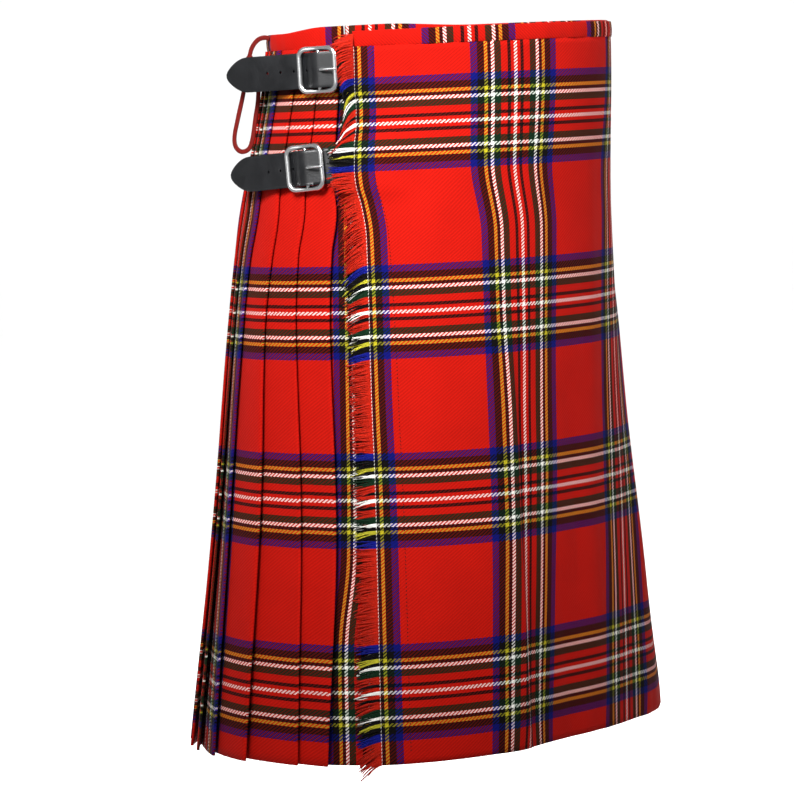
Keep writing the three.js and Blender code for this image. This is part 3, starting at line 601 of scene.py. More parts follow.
def worsted_twill(name, colours, lean=1, packing=1.0):
    """Worsted wool in a 2/2 twill. Two threads of each colour lie over two of the other, so a mixed
    stripe is hatched along the diagonal, its floats darkened by painted shade from their neighbours, and
    plain red shows the same faint line, drawn as painted shade in the grooves. Below 1, packing
    draws the floats longer, so the diagonal still reads on cloth that is seen aslant."""
    material, tree, shader = new_material(name, {
        "Roughness": 0.85, "Specular IOR Level": 0.07, "Sheen Weight": 0.02, "Sheen Roughness": 0.45})
    threads = add_scaled(tree, cloth_place(tree), 1 / THREAD)
    axes = add_node(tree, "ShaderNodeSeparateXYZ", {0: threads})
    warp_at, _ = sett_place(tree, axes.outputs["X"])
    weft_at, weft_thread = sett_place(tree, axes.outputs["Y"])
    dyed = {dye: (*colours[dye], TINT_AND_SHADE_TAKEN[dye]) for dye in colours}
    warp, warp_takes = sett_ramp(tree, warp_at, dyed)
    weft, weft_takes = sett_ramp(tree, weft_at, dyed)
    warp_tint_and_shade, _ = sett_ramp(tree, warp_at, TINT_AND_SHADE_GIVEN)
    weft_tint_and_shade, _ = sett_ramp(tree, weft_at, TINT_AND_SHADE_GIVEN)
    across = add_math(tree, "MULTIPLY", axes.outputs["X"], packing)
    diagonal = add_math(tree, "MULTIPLY_ADD", weft_thread, lean, add_math(tree, "FLOOR", across))
    step = add_math(tree, "FLOORED_MODULO", diagonal, TWILL_REPEAT)
    warp_over = add_math(tree, "LESS_THAN", step, WARP_OVER)
    above = add_choice(tree, warp_over, weft, warp)
    # Painted shade: the thread beside a float darkens its colour as shade in the groove between them, and
    # tints it.
    below = add_choice(tree, warp_over, warp_tint_and_shade, weft_tint_and_shade)
    takes = add_choice(tree, warp_over, weft_takes, warp_takes, "FLOAT")
    float_tint_and_shade = add_choice(tree, takes, (1, 1, 1, 1), below)
    mixed = add_node(tree, "ShaderNodeVectorMath", {0: above, 1: float_tint_and_shade}, operation="MULTIPLY").outputs[0]

    # Round floats: the diagonal swells and sinks once in a repeat, as relief and as painted shade in its
    # grooves.
    slant = add_math(tree, "MULTIPLY_ADD", axes.outputs["Y"], lean, across)
    wave = add_math(tree, "SINE", add_math(tree, "MULTIPLY", slant, 2 * math.pi / TWILL_REPEAT))
    # Fibre: hairs a thread or two long, and slow changes of the dye over a few centimetres.
    hairs = add_noise(tree, threads, 0.9, 3.0, 0.6)
    dye = add_noise(tree, threads, 0.02, 2.0)
    # Painted shade: the colour is drawn from 0.77 in the twill's grooves to 1.03 on the floats' tops.
    line = add_math(tree, "MULTIPLY_ADD", wave, 0.13, 0.90)
    shade = add_math(tree, "MULTIPLY", line, add_spread(tree, hairs, 0.88, 1.08))
    shade = add_math(tree, "MULTIPLY", shade, add_spread(tree, dye, 0.95, 1.04))
    dress(tree, shader, add_math(tree, "MULTIPLY_ADD", hairs, 0.5, wave), 0.35, 0.00012,
          Base_Color=add_scaled(tree, mixed, shade))
    return material


def fringe_wool(name, colours):
    """Loose weft threads of the same wool: each is one solid colour of the sett."""
    material, tree, shader = new_material(name, {
        "Roughness": 0.9, "Specular IOR Level": 0.07, "Sheen Weight": 0.04})
    threads = add_scaled(tree, cloth_place(tree), 1 / THREAD)
    axes = add_node(tree, "ShaderNodeSeparateXYZ", {0: threads})
    weft_at, _ = sett_place(tree, axes.outputs["Y"])
    weft, _ = sett_ramp(tree, weft_at, {dye: (*colours[dye], 1) for dye in colours})
    fibres = add_noise(tree, object_place(tree), 900.0, 2.0)
    dress(tree, shader, Base_Color=add_scaled(tree, weft, add_spread(tree, fibres, 0.72, 1.05)))
    return material


def strap_leather(name, colour):
    """Drum-dyed black strap leather, lightly polished: fine pebbled grain, paler in soft clouds."""
    material, tree, shader = new_material(name, {})
    here = object_place(tree)
    # Pores about 0.6 mm apart, drawn as coarse as shows.
    pores = add_node(tree, "ShaderNodeTexVoronoi", {"Vector": here, "Scale": 1500.0}).outputs[0]
    cloudy = add_noise(tree, here, 60.0, 5.0, 0.6)
    dress(tree, shader, add_math(tree, "MULTIPLY_ADD", cloudy, 0.8, pores),
          Base_Color=add_scaled(tree, (*colour,), add_spread(tree, cloudy, 0.75, 1.35, least=0.35)),
          Roughness=add_spread(tree, cloudy, 0.34, 0.52))
    return material


def bright_chrome(name, colour):
    """Cast zinc, buffed and chrome plated: soft bright highlights, with the buffing's last waviness."""
    material, tree, shader = new_material(name, {"Base Color": (*colour, 1), "Metallic": 1.0})
    buffing = add_noise(tree, object_place(tree), 220.0, 3.0)
    dress(tree, shader, buffing, 0.12, 0.0004, Roughness=add_spread(tree, buffing, 0.17, 0.25))
    return material


def woven_tape(name, colour, rib=0.0006):
    """Narrow woven tape or thread: cross ribs in relief, with painted shade between them and a painted
    highlight on their tops, and a little sheen.
    """
    material, tree, shader = new_material(name, {
        "Roughness": 0.7, "Specular IOR Level": 0.15, "Sheen Weight": 0.03})
    axes = add_node(tree, "ShaderNodeSeparateXYZ", {0: cloth_place(tree)})
    ribs = add_math(tree, "SINE", add_math(tree, "MULTIPLY", axes.outputs["X"], 2 * math.pi / rib))
    # Painted shade and highlight: the colour runs from 0.78 between the ribs to 1.02 on their tops.
    shade = add_math(tree, "MULTIPLY_ADD", ribs, 0.12, 0.9)
    dress(tree, shader, ribs, 0.3, 0.0001, Base_Color=add_scaled(tree, (*colour,), shade))
    return material


# ------------------------------------------------------------------ properties
def length_setting(name, description, default, **limits):
    return bpy.props.FloatProperty(name=name, description=description, default=default, unit="LENGTH",
                                   **limits)


def angle_setting(name, description, degrees):
    return bpy.props.FloatProperty(name=name, description=description, default=math.radians(degrees),
                                   unit="ROTATION")


def colour_setting(name, description, hex_colour):
    return bpy.props.FloatVectorProperty(name=name, description=description, subtype="COLOR",
                                         default=linear(hex_colour))


class KiltClothSettings(bpy.types.PropertyGroup):
    thickness: length_setting("Cloth thickness", "Thickness of the worsted cloth", 0.0010,
                              min=0.0004, max=0.0012)
    pleat_tilt: bpy.props.FloatProperty(
        name="Pleat tilt", description="How far each pleat's cloth rises away from its fold at the hem",
        default=0.01, min=-0.1, max=0.2)
    red: colour_setting("Red", "Ground colour of the tartan", "#B6200E")
    blue: colour_setting("Blue", "Blue stripe", "#10187C")
    green: colour_setting("Green", "Dark green stripe", "#0E2A18")
    yellow: colour_setting("Yellow", "Yellow stripe", "#B8B130")
    white: colour_setting("White", "White stripes", "#F4F2EC")
    black: colour_setting("Black", "Black stripes", "#0A0809")


class KiltFringeSettings(bpy.types.PropertyGroup):
    count: bpy.props.IntProperty(
        name="Threads", description="Number of loose threads along the edge", default=1200, min=50, max=1300)
    radius: length_setting("Thread radius", "Radius of a loose thread", 0.0006)


class KiltLeatherSettings(bpy.types.PropertyGroup):
    colour: colour_setting("Leather", "Colour of the straps", "#0D0E11")
    edge: length_setting("Edge rounding", "Radius of the burnished edges", 0.0006)


class KiltBuckleSettings(bpy.types.PropertyGroup):
    colour: colour_setting("Plating", "Colour of the chrome plate", "#EDEEEF")
    sides: bpy.props.IntProperty(
        name="Bar sides", description="Facets round each bar", default=18, min=6, max=32)


class KiltStageSettings(bpy.types.PropertyGroup):
    knee_height: length_setting("Knee height", "Height of the hem above the floor", 0.47)
    azimuth: angle_setting("Azimuth", "Camera's direction round the kilt", -58.79)
    elevation: angle_setting("Elevation", "Camera's height above the horizon", 3.96)
    roll: angle_setting("Roll", "Camera's turn about its own axis", -2.64)
    distance: length_setting("Distance", "Camera's distance from the kilt's middle", 3.8077)
    lens: bpy.props.FloatProperty(
        name="Lens", description="Focal length in millimetres", default=196.5)
    aim_side: length_setting("Aim sideways", "How far the aim moves to the camera's right", -0.0360)
    aim_up: length_setting("Aim up", "How far the aim moves up", -0.0069)


def tartan_colours():
    cloth = bpy.context.scene.kilt_cloth
    return {name: tuple(getattr(cloth, name)) for name in TINT_AND_SHADE_TAKEN}


def material_once(name, make, *args):
    return bpy.data.materials.get(name) or make(name, *args)


def tartan(name, lean=1, packing=1.0):
    return material_once(name, worsted_twill, tartan_colours(), lean, packing)


# ------------------------------------------------------------------ aprons
PANEL_DROPS = np.linspace(0, SKIRT_DROP, 116)
APRON_COLUMNS = 236
# A round fold's half turn, after its first point, and the shares of the straight stretch beside it.
FOLD_TURN = np.linspace(math.pi / 2, -math.pi / 2, 6)[1:]
RETURN_SHARES = np.linspace(0, 1, 9)[1:]
# Where the over apron steps out before its crease, and how far its return stops short of the crease.
STEP_FROM, STEP_TO, RETURN_SHORT = 0.045, 0.004, 0.001


def over_apron_path(drop):
    """The over apron's middle line at one height, from the fringed edge to the end of its return."""
    start, end = -fringed_edge(drop), folded_edge(drop)
    depth = fold_depth(drop)
    top, crease = UNDER_OUT + pleat_rise(drop) + EDGE_RISE, end - depth
    from_edge = np.linspace(0, crease - start, APRON_COLUMNS)
    s = start + from_edge
    out, lean = apron_crease(from_edge, drop)
    r = (OVER_OUT + strap_lift(from_edge, drop)
         + FOLD_STEP * smooth(crease - STEP_FROM, crease - STEP_TO, s)
         + out + np.abs(soft_ripple(s, drop)) + seam_puckers(from_edge, drop))
    crest = OVER_OUT + FOLD_STEP
    face_s = crease + (end - FOLD_ROUND - crease) * RETURN_SHARES
    face_r = crest + (top - crest) * RETURN_SHARES
    round_s = end - FOLD_ROUND + FOLD_ROUND * np.cos(FOLD_TURN)
    round_r = top - FOLD_STEP / 2 + FOLD_STEP / 2 * np.sin(FOLD_TURN)
    low = UNDER_OUT + FOLD_STEP + CREASE_RISE
    back_s = end - FOLD_ROUND - (depth - RETURN_SHORT - FOLD_ROUND) * RETURN_SHARES
    back_r = top - FOLD_STEP + (low - top + FOLD_STEP) * RETURN_SHARES
    line_s = np.concatenate([s + lean, face_s, round_s, back_s])
    line_r = np.concatenate([r, face_r, round_r, back_r])
    steps = np.hypot(np.diff(line_s), np.diff(line_r))
    rest = from_edge[-1] + np.cumsum(steps[APRON_COLUMNS - 1:])
    cloth = np.concatenate([from_edge, rest]) - APRON_PIVOT
    return line_s, line_r, cloth, np.zeros_like(line_s)


def under_apron_path(drop):
    """The under apron, from its join under the last pleat to its end under the over apron."""
    start = folds_at(drop)[-1] - JOIN_BACK + GAP - girth_at(drop)
    end = folded_edge(drop) - fold_depth(drop)
    hidden = -fringed_edge(drop)
    s = np.concatenate([np.linspace(start, hidden, 28)[:-1], np.linspace(hidden, end, 130)])
    out, lean = apron_crease(s - hidden, drop)
    under = smooth(hidden - 0.004, hidden + 0.01, s)
    r = UNDER_OUT + (out + np.abs(soft_ripple(s, drop))) * under
    return s + lean * under, r, s - under_middle(drop), np.zeros_like(s)


def drape(path, drops):
    """Points and cloth places of a whole panel from its path at each height."""
    points, cloth = [], []
    for drop in drops:
        s, r, u, lift = path(drop)
        points.append(place(s, r, drop, lift))
        cloth.append(np.stack([u, np.full_like(u, drop - FIRST_PIVOT_DROP)], -1))
    return np.array(points), np.array(cloth)


def make_panel(name, node, path):
    points, cloth = drape(path, PANEL_DROPS)
    bm = bmesh.new()
    mapped_grid(bm, points, cloth)
    panel = finish_piece(name, bm, tartan("worsted_tartan", packing=0.80), [node])
    solidify(panel, bpy.context.scene.kilt_cloth.thickness)


class KILT_OT_aprons(bpy.types.Operator):
    """Makes the over apron with its folded left edge, and the under apron"""

    bl_idname = "kilt.aprons"
    bl_label = "Aprons"

    def execute(self, context):
        make_panel("over_apron_cloth", "over_apron", over_apron_path)
        make_panel("under_apron_cloth", "under_apron", under_apron_path)
        return {"FINISHED"}


# ------------------------------------------------------------------ pleats
PLEAT_DROPS = np.linspace(0, SKIRT_DROP, 76)
FACE_SHARES = np.array([0, 0.12, 0.25, 0.38, 0.5, 0.62, 0.74, 0.86, 0.94, 1.0])
BACK_SHARES = np.array([0.25, 0.5, 0.75, 1.0])
TAIL_COUNT = 4
# How much a pleat's face bows at the hem, and the room it leaves the pleat before.
PLEAT_BOW = 0.0006
PLEAT_ROOM = 0.002


def fold_cloth():
    """The cloth's place in the sett at each fold, so that the pleats show the sett in order."""
    shared = PLEAT_COUNT - len(RED_BEHIND)
    places = [BLUE_EDGE + PLEAT_SHOWS * (k + 1 - shared) for k in range(shared)]
    return places + [BLUE_EDGE + behind for behind in RED_BEHIND.values()]


def pleats_path(drop):
    """The middle line of all the pleats at one height."""
    folds, rise, depth = folds_at(drop), pleat_rise(drop), fold_depth(drop)
    top, low = UNDER_OUT + rise, UNDER_OUT + FOLD_STEP
    swell = 1 + 0.55 * float(smooth(0.16, 0.36, drop))
    tilt = bpy.context.scene.kilt_cloth.pleat_tilt * float(smooth(0.18, SKIRT_DROP, drop))
    inner = folded_edge(drop) - depth + 0.0015
    # Each stretch: its places, how far out they lie, their cloth and how much they are raised.
    stretches = []
    for k, (fold, cloth) in enumerate(zip(folds, fold_cloth())):
        before = folded_edge(drop) if k == 0 else folds[k - 1]
        reach = min(depth, fold - before - PLEAT_ROOM + (before - inner) * 0.75)
        loose = PLEAT_BOW * math.sin(3.1 * k) * float(smooth(0.2, SKIRT_DROP, drop))
        crease = fold - reach
        face = inner + (fold - FOLD_ROUND - inner) * FACE_SHARES
        face_r = UNDER_OUT + rise * FACE_SHARES**swell + loose * np.sin(math.pi * FACE_SHARES)
        round_s = fold - FOLD_ROUND + FOLD_ROUND * np.cos(FOLD_TURN)
        round_r = top - FOLD_STEP / 2 * (1 - np.sin(FOLD_TURN))
        back = fold - FOLD_ROUND - (fold - 2 * FOLD_ROUND - crease) * BACK_SHARES
        back_r = top - FOLD_STEP + (low - top + FOLD_STEP) * BACK_SHARES
        stretches += [
            (face, face_r, cloth - (fold - face), tilt * (fold - face)),
            (round_s, round_r, np.full_like(round_s, cloth), np.zeros_like(round_s)),
            (back, back_r, cloth + (fold - back), tilt * (fold - back)),
            tuple(np.array([x]) for x in (crease, low - FOLD_STEP / 2, cloth + reach, tilt * reach)),
        ]
        inner = crease + FOLD_ROUND
    tail = np.linspace(inner, folds[-1] - JOIN_BACK, TAIL_COUNT)
    stretches.append((tail, np.full_like(tail, UNDER_OUT), tail - girth_at(drop) - under_middle(drop),
                      np.zeros_like(tail)))
    return (np.concatenate(values) for values in zip(*stretches))


class KILT_OT_pleats(bpy.types.Operator):
    """Makes the pleated back, sewn down to the hips and open below"""

    bl_idname = "kilt.pleats"
    bl_label = "Pleats"

    def execute(self, context):
        points, cloth = drape(pleats_path, PLEAT_DROPS)
        bm = bmesh.new()
        mapped_grid(bm, points, cloth)
        material = tartan("worsted_tartan_pleats", packing=0.60)
        panel = finish_piece("pleated_cloth", bm, material, ["pleats"])
        solidify(panel, context.scene.kilt_cloth.thickness)
        return {"FINISHED"}


# ------------------------------------------------------------------ waistbands
# How far the inner bands stand above the outer one, from their least to their highest.
INNER_PEAK = 0.005
INNER_LEAST = 0.001
BAND_THICKNESS = 0.0018
# How far a band covers its panel's top edge, as sewn.
BAND_LAP = 0.0006
BAND_RINGS, BAND_SIDES = 150, 24
# How flat a band's sides and its top are: a power of the sine of a round section.
BAND_FLAT_SIDE, BAND_FLAT_TOP = 0.35, 0.6
# How much a band's middle is pillowed, and how near to its ends it gets thinner and how much.
BAND_PILLOW, BAND_END, BAND_END_SHARE = 0.0005, 0.0012, 0.75
# How far the pleats' band runs past the last fold, and how far out the two inner bands lie.
BAND_PAST_FOLD, PLEATS_BAND_OUT, UNDER_BAND_OUT = 0.003, UNDER_OUT + 0.0026, UNDER_OUT - 2 * GAP


def signed_power(values, power):
    return np.sign(values) * np.abs(values) ** power


def make_band(name, node, span, out, stand_up, pivot):
    """A folded band of cloth: its section is a flat loop with a round top, a little pillowed."""
    start, end = span
    s = np.linspace(start, end, BAND_RINGS)
    peak = stand_up(s)
    turn = np.linspace(0, 2 * math.pi, BAND_SIDES + 1)
    across = signed_power(np.cos(turn), BAND_FLAT_SIDE) * BAND_THICKNESS / 2
    rings, cloth = [], []
    for at, rise in zip(s, peak):
        high = BAND_HEIGHT + rise + BAND_LAP
        puff = 0.00022 * math.sin(at * 190) + 0.00016 * math.sin(at * 431 + 1)
        up = signed_power(np.sin(turn), BAND_FLAT_TOP) * high / 2
        pillow = BAND_PILLOW * np.cos(np.clip(up / high, -0.5, 0.5) * math.pi) * (across > 0)
        end_share = min(1.0, (at - start) / BAND_END, (end - at) / BAND_END)
        thin = BAND_END_SHARE + (1 - BAND_END_SHARE) * end_share
        point, _, away = on_section(np.full(turn.shape, at), 0.0)
        far = out + across * thin + pillow + puff
        z = SEAM_Z + high / 2 - BAND_LAP + up
        rings.append(np.concatenate([point + away * far[:, None], z[:, None]], -1))
        cloth.append(np.stack([np.full(turn.shape, at - pivot), SETT_LENGTH / 2 - z + across], -1))
    caps = [np.broadcast_to(ring.mean(0), ring.shape) for ring in (rings[0], rings[-1])]
    rings = np.array([caps[0], *rings, caps[1]])
    cloth = np.array([cloth[0], *cloth, cloth[-1]])
    bm = bmesh.new()
    mapped_grid(bm, rings, cloth, wrap=True)
    band = finish_piece(name, bm, tartan("worsted_tartan_band", lean=-1), [node],
                        closed=True)


class KILT_OT_waistbands(bpy.types.Operator):
    """Makes the three bands that close the waist, the inner ones standing a little higher"""

    bl_idname = "kilt.waistbands"
    bl_label = "Waistbands"

    def execute(self, context):
        girth = girth_at(0)
        join = girth - fringed_edge(0) - RIGHT_FOLDS[0]["first"] + BAND_PAST_FOLD
        span = INNER_PEAK - INNER_LEAST
        make_band("band_over_apron", "waistband_over_apron", (-fringed_edge(0), folded_edge(0) - GAP),
                  OVER_OUT + GAP, np.zeros_like, -fringed_edge(0) + BAND_PIVOT)
        make_band("band_pleats", "waistband_pleats", (folded_edge(0), join), PLEATS_BAND_OUT,
                  lambda s: INNER_LEAST + span * smooth(girth - 0.3, girth - 0.25, s),
                  girth + INNER_BAND_PIVOT)
        make_band("band_under_apron", "waistband_under_apron",
                  (join - girth + GAP, folded_edge(0) - fold_depth(0)), UNDER_BAND_OUT,
                  lambda s: INNER_PEAK - span * smooth(-0.2, -0.12, s), INNER_BAND_PIVOT)
        return {"FINISHED"}


# ------------------------------------------------------------------ fringe
# The threads start on the waistband, a little inside the cloth's edge and just proud of it.
FRINGE_ON_BAND = 0.0105
FRINGE_LAP = 0.0015
ROOT_RISE = 0.0007
# Threads in a tuft that leans one way, and the places along a thread.
TUFT = 7
THREAD_SHARES = np.linspace(0, 1, 8)
# How unevenly the threads reach, lean in their tufts and alone, curl, and lift off what lies below.
REACH_UNEVEN, TUFT_LEAN, LONE_LEAN, CURL = 0.10, 0.08, 0.07, 0.0009
LIFT_UNEVEN, LEAST_LIFT = 0.0012, 0.0004


def beside_edge(left, out, drop):
    """A place beside the over apron's fringed edge."""
    along = -fringed_edge(drop) - left
    return place(np.array([along]), OVER_OUT + float(strap_lift(0.0, drop)) + out, drop)[0]


def thread_rise(drop):
    """How far the threads ride up over the band, the first pleat and the straps."""
    over_band = 0.0032 * (1 - float(smooth(0.0, 0.010, drop)))
    over_pleat = 0.0052 * float(smooth(-0.004, 0.004, drop)) * (1 - float(smooth(0.095, 0.14, drop)))
    return max(over_band, over_pleat, *(
        0.0085 * (1 - float(smooth(0.004, 0.012, past_strap(fastening, drop))))
        for fastening in FASTENINGS))


def fringe_thread(root, reach, slope, curl, lift):
    """A thread's line: from inside the edge it crosses over what lies beside it and sinks, and below
    the hem it hangs free."""
    side = reach / math.hypot(1, slope)
    line = []
    for t in THREAD_SHARES:
        drop = root + slope * side * t**1.5 + curl * math.sin(3.0 * t) * t
        on_body = min(drop, SKIRT_DROP)
        rise = thread_rise(on_body) * float(smooth(0, 0.6, t)) + lift * math.sin(2.2 * t)
        rise += ROOT_RISE * (1 - t)
        spot = beside_edge(side * t - FRINGE_LAP, rise, on_body)
        spot[2] -= drop - on_body
        line.append(spot)
    return np.array(line)


class KILT_OT_fringe(bpy.types.Operator):
    """Makes the loose weft threads along the over apron's edge"""

    bl_idname = "kilt.fringe"
    bl_label = "Fringe"

    def execute(self, context):
        fringe = context.scene.kilt_fringe
        chance = np.random.default_rng(7)
        bm = bmesh.new()
        tufts = chance.normal(0, 1, fringe.count // TUFT + 2)
        taper = 1 - 0.45 * THREAD_SHARES**2
        for i in range(fringe.count):
            root = -FRINGE_ON_BAND + (SKIRT_DROP + FRINGE_ON_BAND) * (i + 0.5) / fringe.count
            k, share = i // TUFT, (i % TUFT) / TUFT
            tuft = tufts[k] * (1 - share) + tufts[k + 1] * share
            reach = fringe_reach(root) * (1 + REACH_UNEVEN * chance.normal())
            slope = fringe_slope(root) + TUFT_LEAN * tuft + LONE_LEAN * chance.normal()
            curl = CURL * chance.normal()
            lift = LIFT_UNEVEN * abs(chance.normal()) + LEAST_LIFT
            line = fringe_thread(root, reach, slope, curl, lift)
            tube(bm, line, fringe.radius * 1.1, ((0, 0, 1), fringe.radius), 5, shares=taper,
                 cloth=(0.0, root - FIRST_PIVOT_DROP))
        material = material_once("loose_worsted", fringe_wool, tartan_colours())
        finish_piece("fringe_threads", bm, material, ["fringe"], closed=True)
        return {"FINISHED"}


# ------------------------------------------------------------------ stitching
STITCH_LINE = table(
    "drop inside", (0.000, 0.0186), (0.045, 0.0186), (0.295, 0.0248), (0.600, 0.0256))
STITCH_PITCH = 0.0031
STITCH_LENGTH = 0.0011
# The stitches keep this far from the seam and the hem, stand this proud of the middle of the cloth,
# and have these half sizes across and in depth, which lies along STITCH_OUT, level with the ground.
STITCH_MARGIN, STITCH_PROUD = 0.006, 0.00052
STITCH_HALF_WIDTH, STITCH_HALF_DEPTH = 0.00045, 0.00026
STITCH_OUT = (0.85, 0.53, 0)
stitch_inside = column(STITCH_LINE, "inside")


class KILT_OT_stitching(bpy.types.Operator):
    """Makes the prick stitches that hold the over apron's edge turning"""

    bl_idname = "kilt.stitching"
    bl_label = "Stitching"

    def execute(self, context):
        bm = bmesh.new()
        for i in range(int((SKIRT_DROP - 2 * STITCH_MARGIN) / STITCH_PITCH)):
            drop = STITCH_MARGIN + i * STITCH_PITCH
            inside = stitch_inside(drop)
            line = []
            for t in (-0.5, -0.2, 0.2, 0.5):
                here = drop + STITCH_LENGTH * t
                along = inside - fringed_edge(here)
                out, _ = apron_crease(np.array([inside]), here)
                far = (OVER_OUT + float(strap_lift(inside, here)) + out[0] + STITCH_PROUD
                       + float(np.abs(soft_ripple(along, here))) + float(seam_puckers(inside, here)))
                line.append(place(np.array([along]), far, here)[0])
            tube(bm, np.array(line), STITCH_HALF_WIDTH, (STITCH_OUT, STITCH_HALF_DEPTH), 6,
                 shares=[0.6, 1, 1, 0.6])
        material = material_once("sewing_thread", woven_tape, linear("#140203"))
        finish_piece("apron_stitches", bm, material, closed=True)
        return {"FINISHED"}


# ------------------------------------------------------------------ straps and buckles
def hip_frame(fastening):
    """A fastening's own axes: x runs toward the strap's tip, y up and z out from the body."""
    drop = fastening["drop"]
    along = -fringed_edge(drop) - fastening["from_edge"]
    point, tangent, out = (values[0] for values in on_section(np.array([along]), drop))
    lean = math.atan(fastening["slope"])
    away = Vector((*out, 0))
    x = Vector((*(-tangent), 0)) * math.cos(lean) + Vector((0, 0, -math.sin(lean)))
    up = away.cross(x).normalized()
    if up.z < 0:
        up.negate()
    origin = Vector((*point, SEAM_Z - drop))

    def at(a, b, r):
        return np.array(origin + x * a + up * b + away * (r + fastening["stand_off"]))

    return {"along": along, "at": at, "away": np.array(away), "up": np.array(up), **fastening}


# How far past the apron's edge a strap starts to rise, how long its slope is where there is room, and
# how short of the near bar it is at its full height.
RISE_PAST_EDGE, RISE_SLOPE, RISE_SHORT = 0.0032, 0.010, 0.001
STRAP_ROWS, STRAP_COLUMNS = 13, 110
# How wide the strap's point is at its very tip, and how round it is.
POINT_WIDTH, POINT_ROUND = 0.10, 0.72
# How far in and out of the strap the punch for its holes reaches.
PUNCH = (-0.02, 0.03)
# Edges that turn by more degrees than this are burnished round.
EDGE_ANGLE = 50


def strap_rise(fastening):
    """Where the strap starts to rise past the fringe, and where it reaches the near bar."""
    return RISE_PAST_EDGE - fastening["from_edge"], BAR_RADIUS - BUCKLE_LENGTH / 2 - RISE_SHORT


def strap_line(fastening):
    """The strap's middle line, as places toward the tip and heights out from the body."""
    edge, tail = -fastening["from_edge"], fastening["tail"]
    half = BUCKLE_LENGTH / 2 - BAR_RADIUS
    start, near = strap_rise(fastening)
    steep = near - start < RISE_SLOPE
    knee = (start + near) / 2 if steep else start + RISE_SLOPE
    under = SIDE_BAR_OUT - BAR_RADIUS - GAP - STRAP_THICKNESS / 2
    over = CENTRE_BAR_OUT + CENTRE_BAR_RADIUS + 2 * GAP + TAB_THICKNESS + STRAP_THICKNESS / 2
    hidden = UNDER_OUT + CLOTH / 2 + 3 * GAP + STRAP_THICKNESS / 2
    return [
        (edge - STRAP_HIDDEN, hidden), (edge - 0.017, hidden), (edge - 0.008, hidden),
        (start, hidden + 0.0001), (knee, under - (0.004 if steep else 0.0015)),
        (near, under - 0.0001), (-half + 0.003, under + 0.0002), (-0.0075, over - 0.0022),
        (-0.003, over - 0.0002), (0.0, over), (0.003, over - 0.0002), (0.0075, over - 0.0024),
        (half - 0.004, under - 0.0001), (half + 0.002, under - 0.0005), (half + 0.016, under - 0.0016),
        (tail - 0.042, under - 0.0045), (tail - 0.028, under - 0.0065), (tail - 0.016, under - 0.0086),
        (tail - 0.009, under - 0.0100), (tail - 0.004, under - 0.0110), (tail, under - 0.0120),
    ]


def strap_spot(hip, a, b, r):
    """A place on a strap: it follows the body near the apron and is straight past the buckle."""
    flat = hip["at"](a, b, r)
    start, near = strap_rise(hip)
    if a >= near:
        return flat
    round_body = place(np.array([hip["along"] - a]), r, hip["drop"] - b + a * hip["slope"])[0]
    share = float(smooth(-near, -max(start, near - 0.009), -a))
    return flat * (1 - share) + round_body * share


def strap_taper(to_tip):
    """The share of a strap's width at a distance from its tip."""
    if to_tip >= STRAP_POINT:
        return 1.0
    return POINT_WIDTH + (1 - POINT_WIDTH) * math.sin(math.pi / 2 * to_tip / STRAP_POINT) ** POINT_ROUND


def punch_holes(strap, hip):
    """Cuts a strap's holes and bakes its thickness and the cuts into its mesh."""
    punches = []
    for i in range(hip["holes"]):
        a = hip["tail"] - HOLE_FROM_TIP - HOLE_PITCH * i
        bm = bmesh.new()
        line = np.linspace(*(hip["at"](a, 0, out) for out in PUNCH), 4)
        tube(bm, line, HOLE_RADIUS, (hip["up"], HOLE_RADIUS), 16)
        bmesh.ops.recalc_face_normals(bm, faces=bm.faces)
        punch = link_new(f"punch_{i}", mesh_from("punch", bm))
        cut = strap.modifiers.new(f"Hole {i}", "BOOLEAN")
        cut.object, cut.operation, cut.solver = punch, "DIFFERENCE", "EXACT"
        punches.append(punch)
    graph = bpy.context.evaluated_depsgraph_get()
    mesh = bpy.data.meshes.new_from_object(strap.evaluated_get(graph))
    strap.modifiers.clear()
    strap.data = mesh
    for punch in punches:
        bpy.data.meshes.remove(punch.data)


def make_strap(fastening, material, edge):
    hip = hip_frame(fastening)
    line = curve_through(strap_line(fastening), STRAP_COLUMNS)[::-1]
    sides = np.linspace(1, -1, STRAP_ROWS) * STRAP_WIDTH / 2
    points = [[strap_spot(hip, a, side * strap_taper(fastening["tail"] - a), r) for a, r in line]
              for side in sides]
    flat = np.stack(np.broadcast_arrays(line[:, 0][None, :], sides[:, None]), -1)
    bm = bmesh.new()
    mapped_grid(bm, np.array(points), flat)
    strap = finish_piece(f"leather_strap_{fastening['name']}", bm, material,
                         [f"strap_{fastening['name']}"])
    solidify(strap, STRAP_THICKNESS)
    punch_holes(strap, hip)
    bevel = strap.modifiers.new("Burnished edge", "BEVEL")
    bevel.width, bevel.segments, bevel.limit_method = edge, 2, "ANGLE"
    bevel.angle_limit = math.radians(EDGE_ANGLE)


class KILT_OT_straps(bpy.types.Operator):
    """Makes the two leather straps with their holes, and finishes the tabs that carry the buckles"""

    bl_idname = "kilt.straps"
    bl_label = "Straps"

    def execute(self, context):
        leather = context.scene.kilt_leather
        material = material_once("matte_strap_leather", strap_leather, tuple(leather.colour))
        for fastening in FASTENINGS:
            make_strap(fastening, material, leather.edge)
            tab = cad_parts[f"buckle_tab_{fastening['name']}"]
            tab.data.materials.clear()
            tab.data.materials.append(material)
        return {"FINISHED"}


RING_COLUMNS, PRONG_COLUMNS = 120, 70


def frame_out(a):
    """The frame's long sides bow: its end bars stand further out than the centre bar."""
    share = float(smooth(0, BUCKLE_LENGTH / 2 - BAR_RADIUS, abs(a)))
    return CENTRE_BAR_OUT + (SIDE_BAR_OUT - CENTRE_BAR_OUT) * share


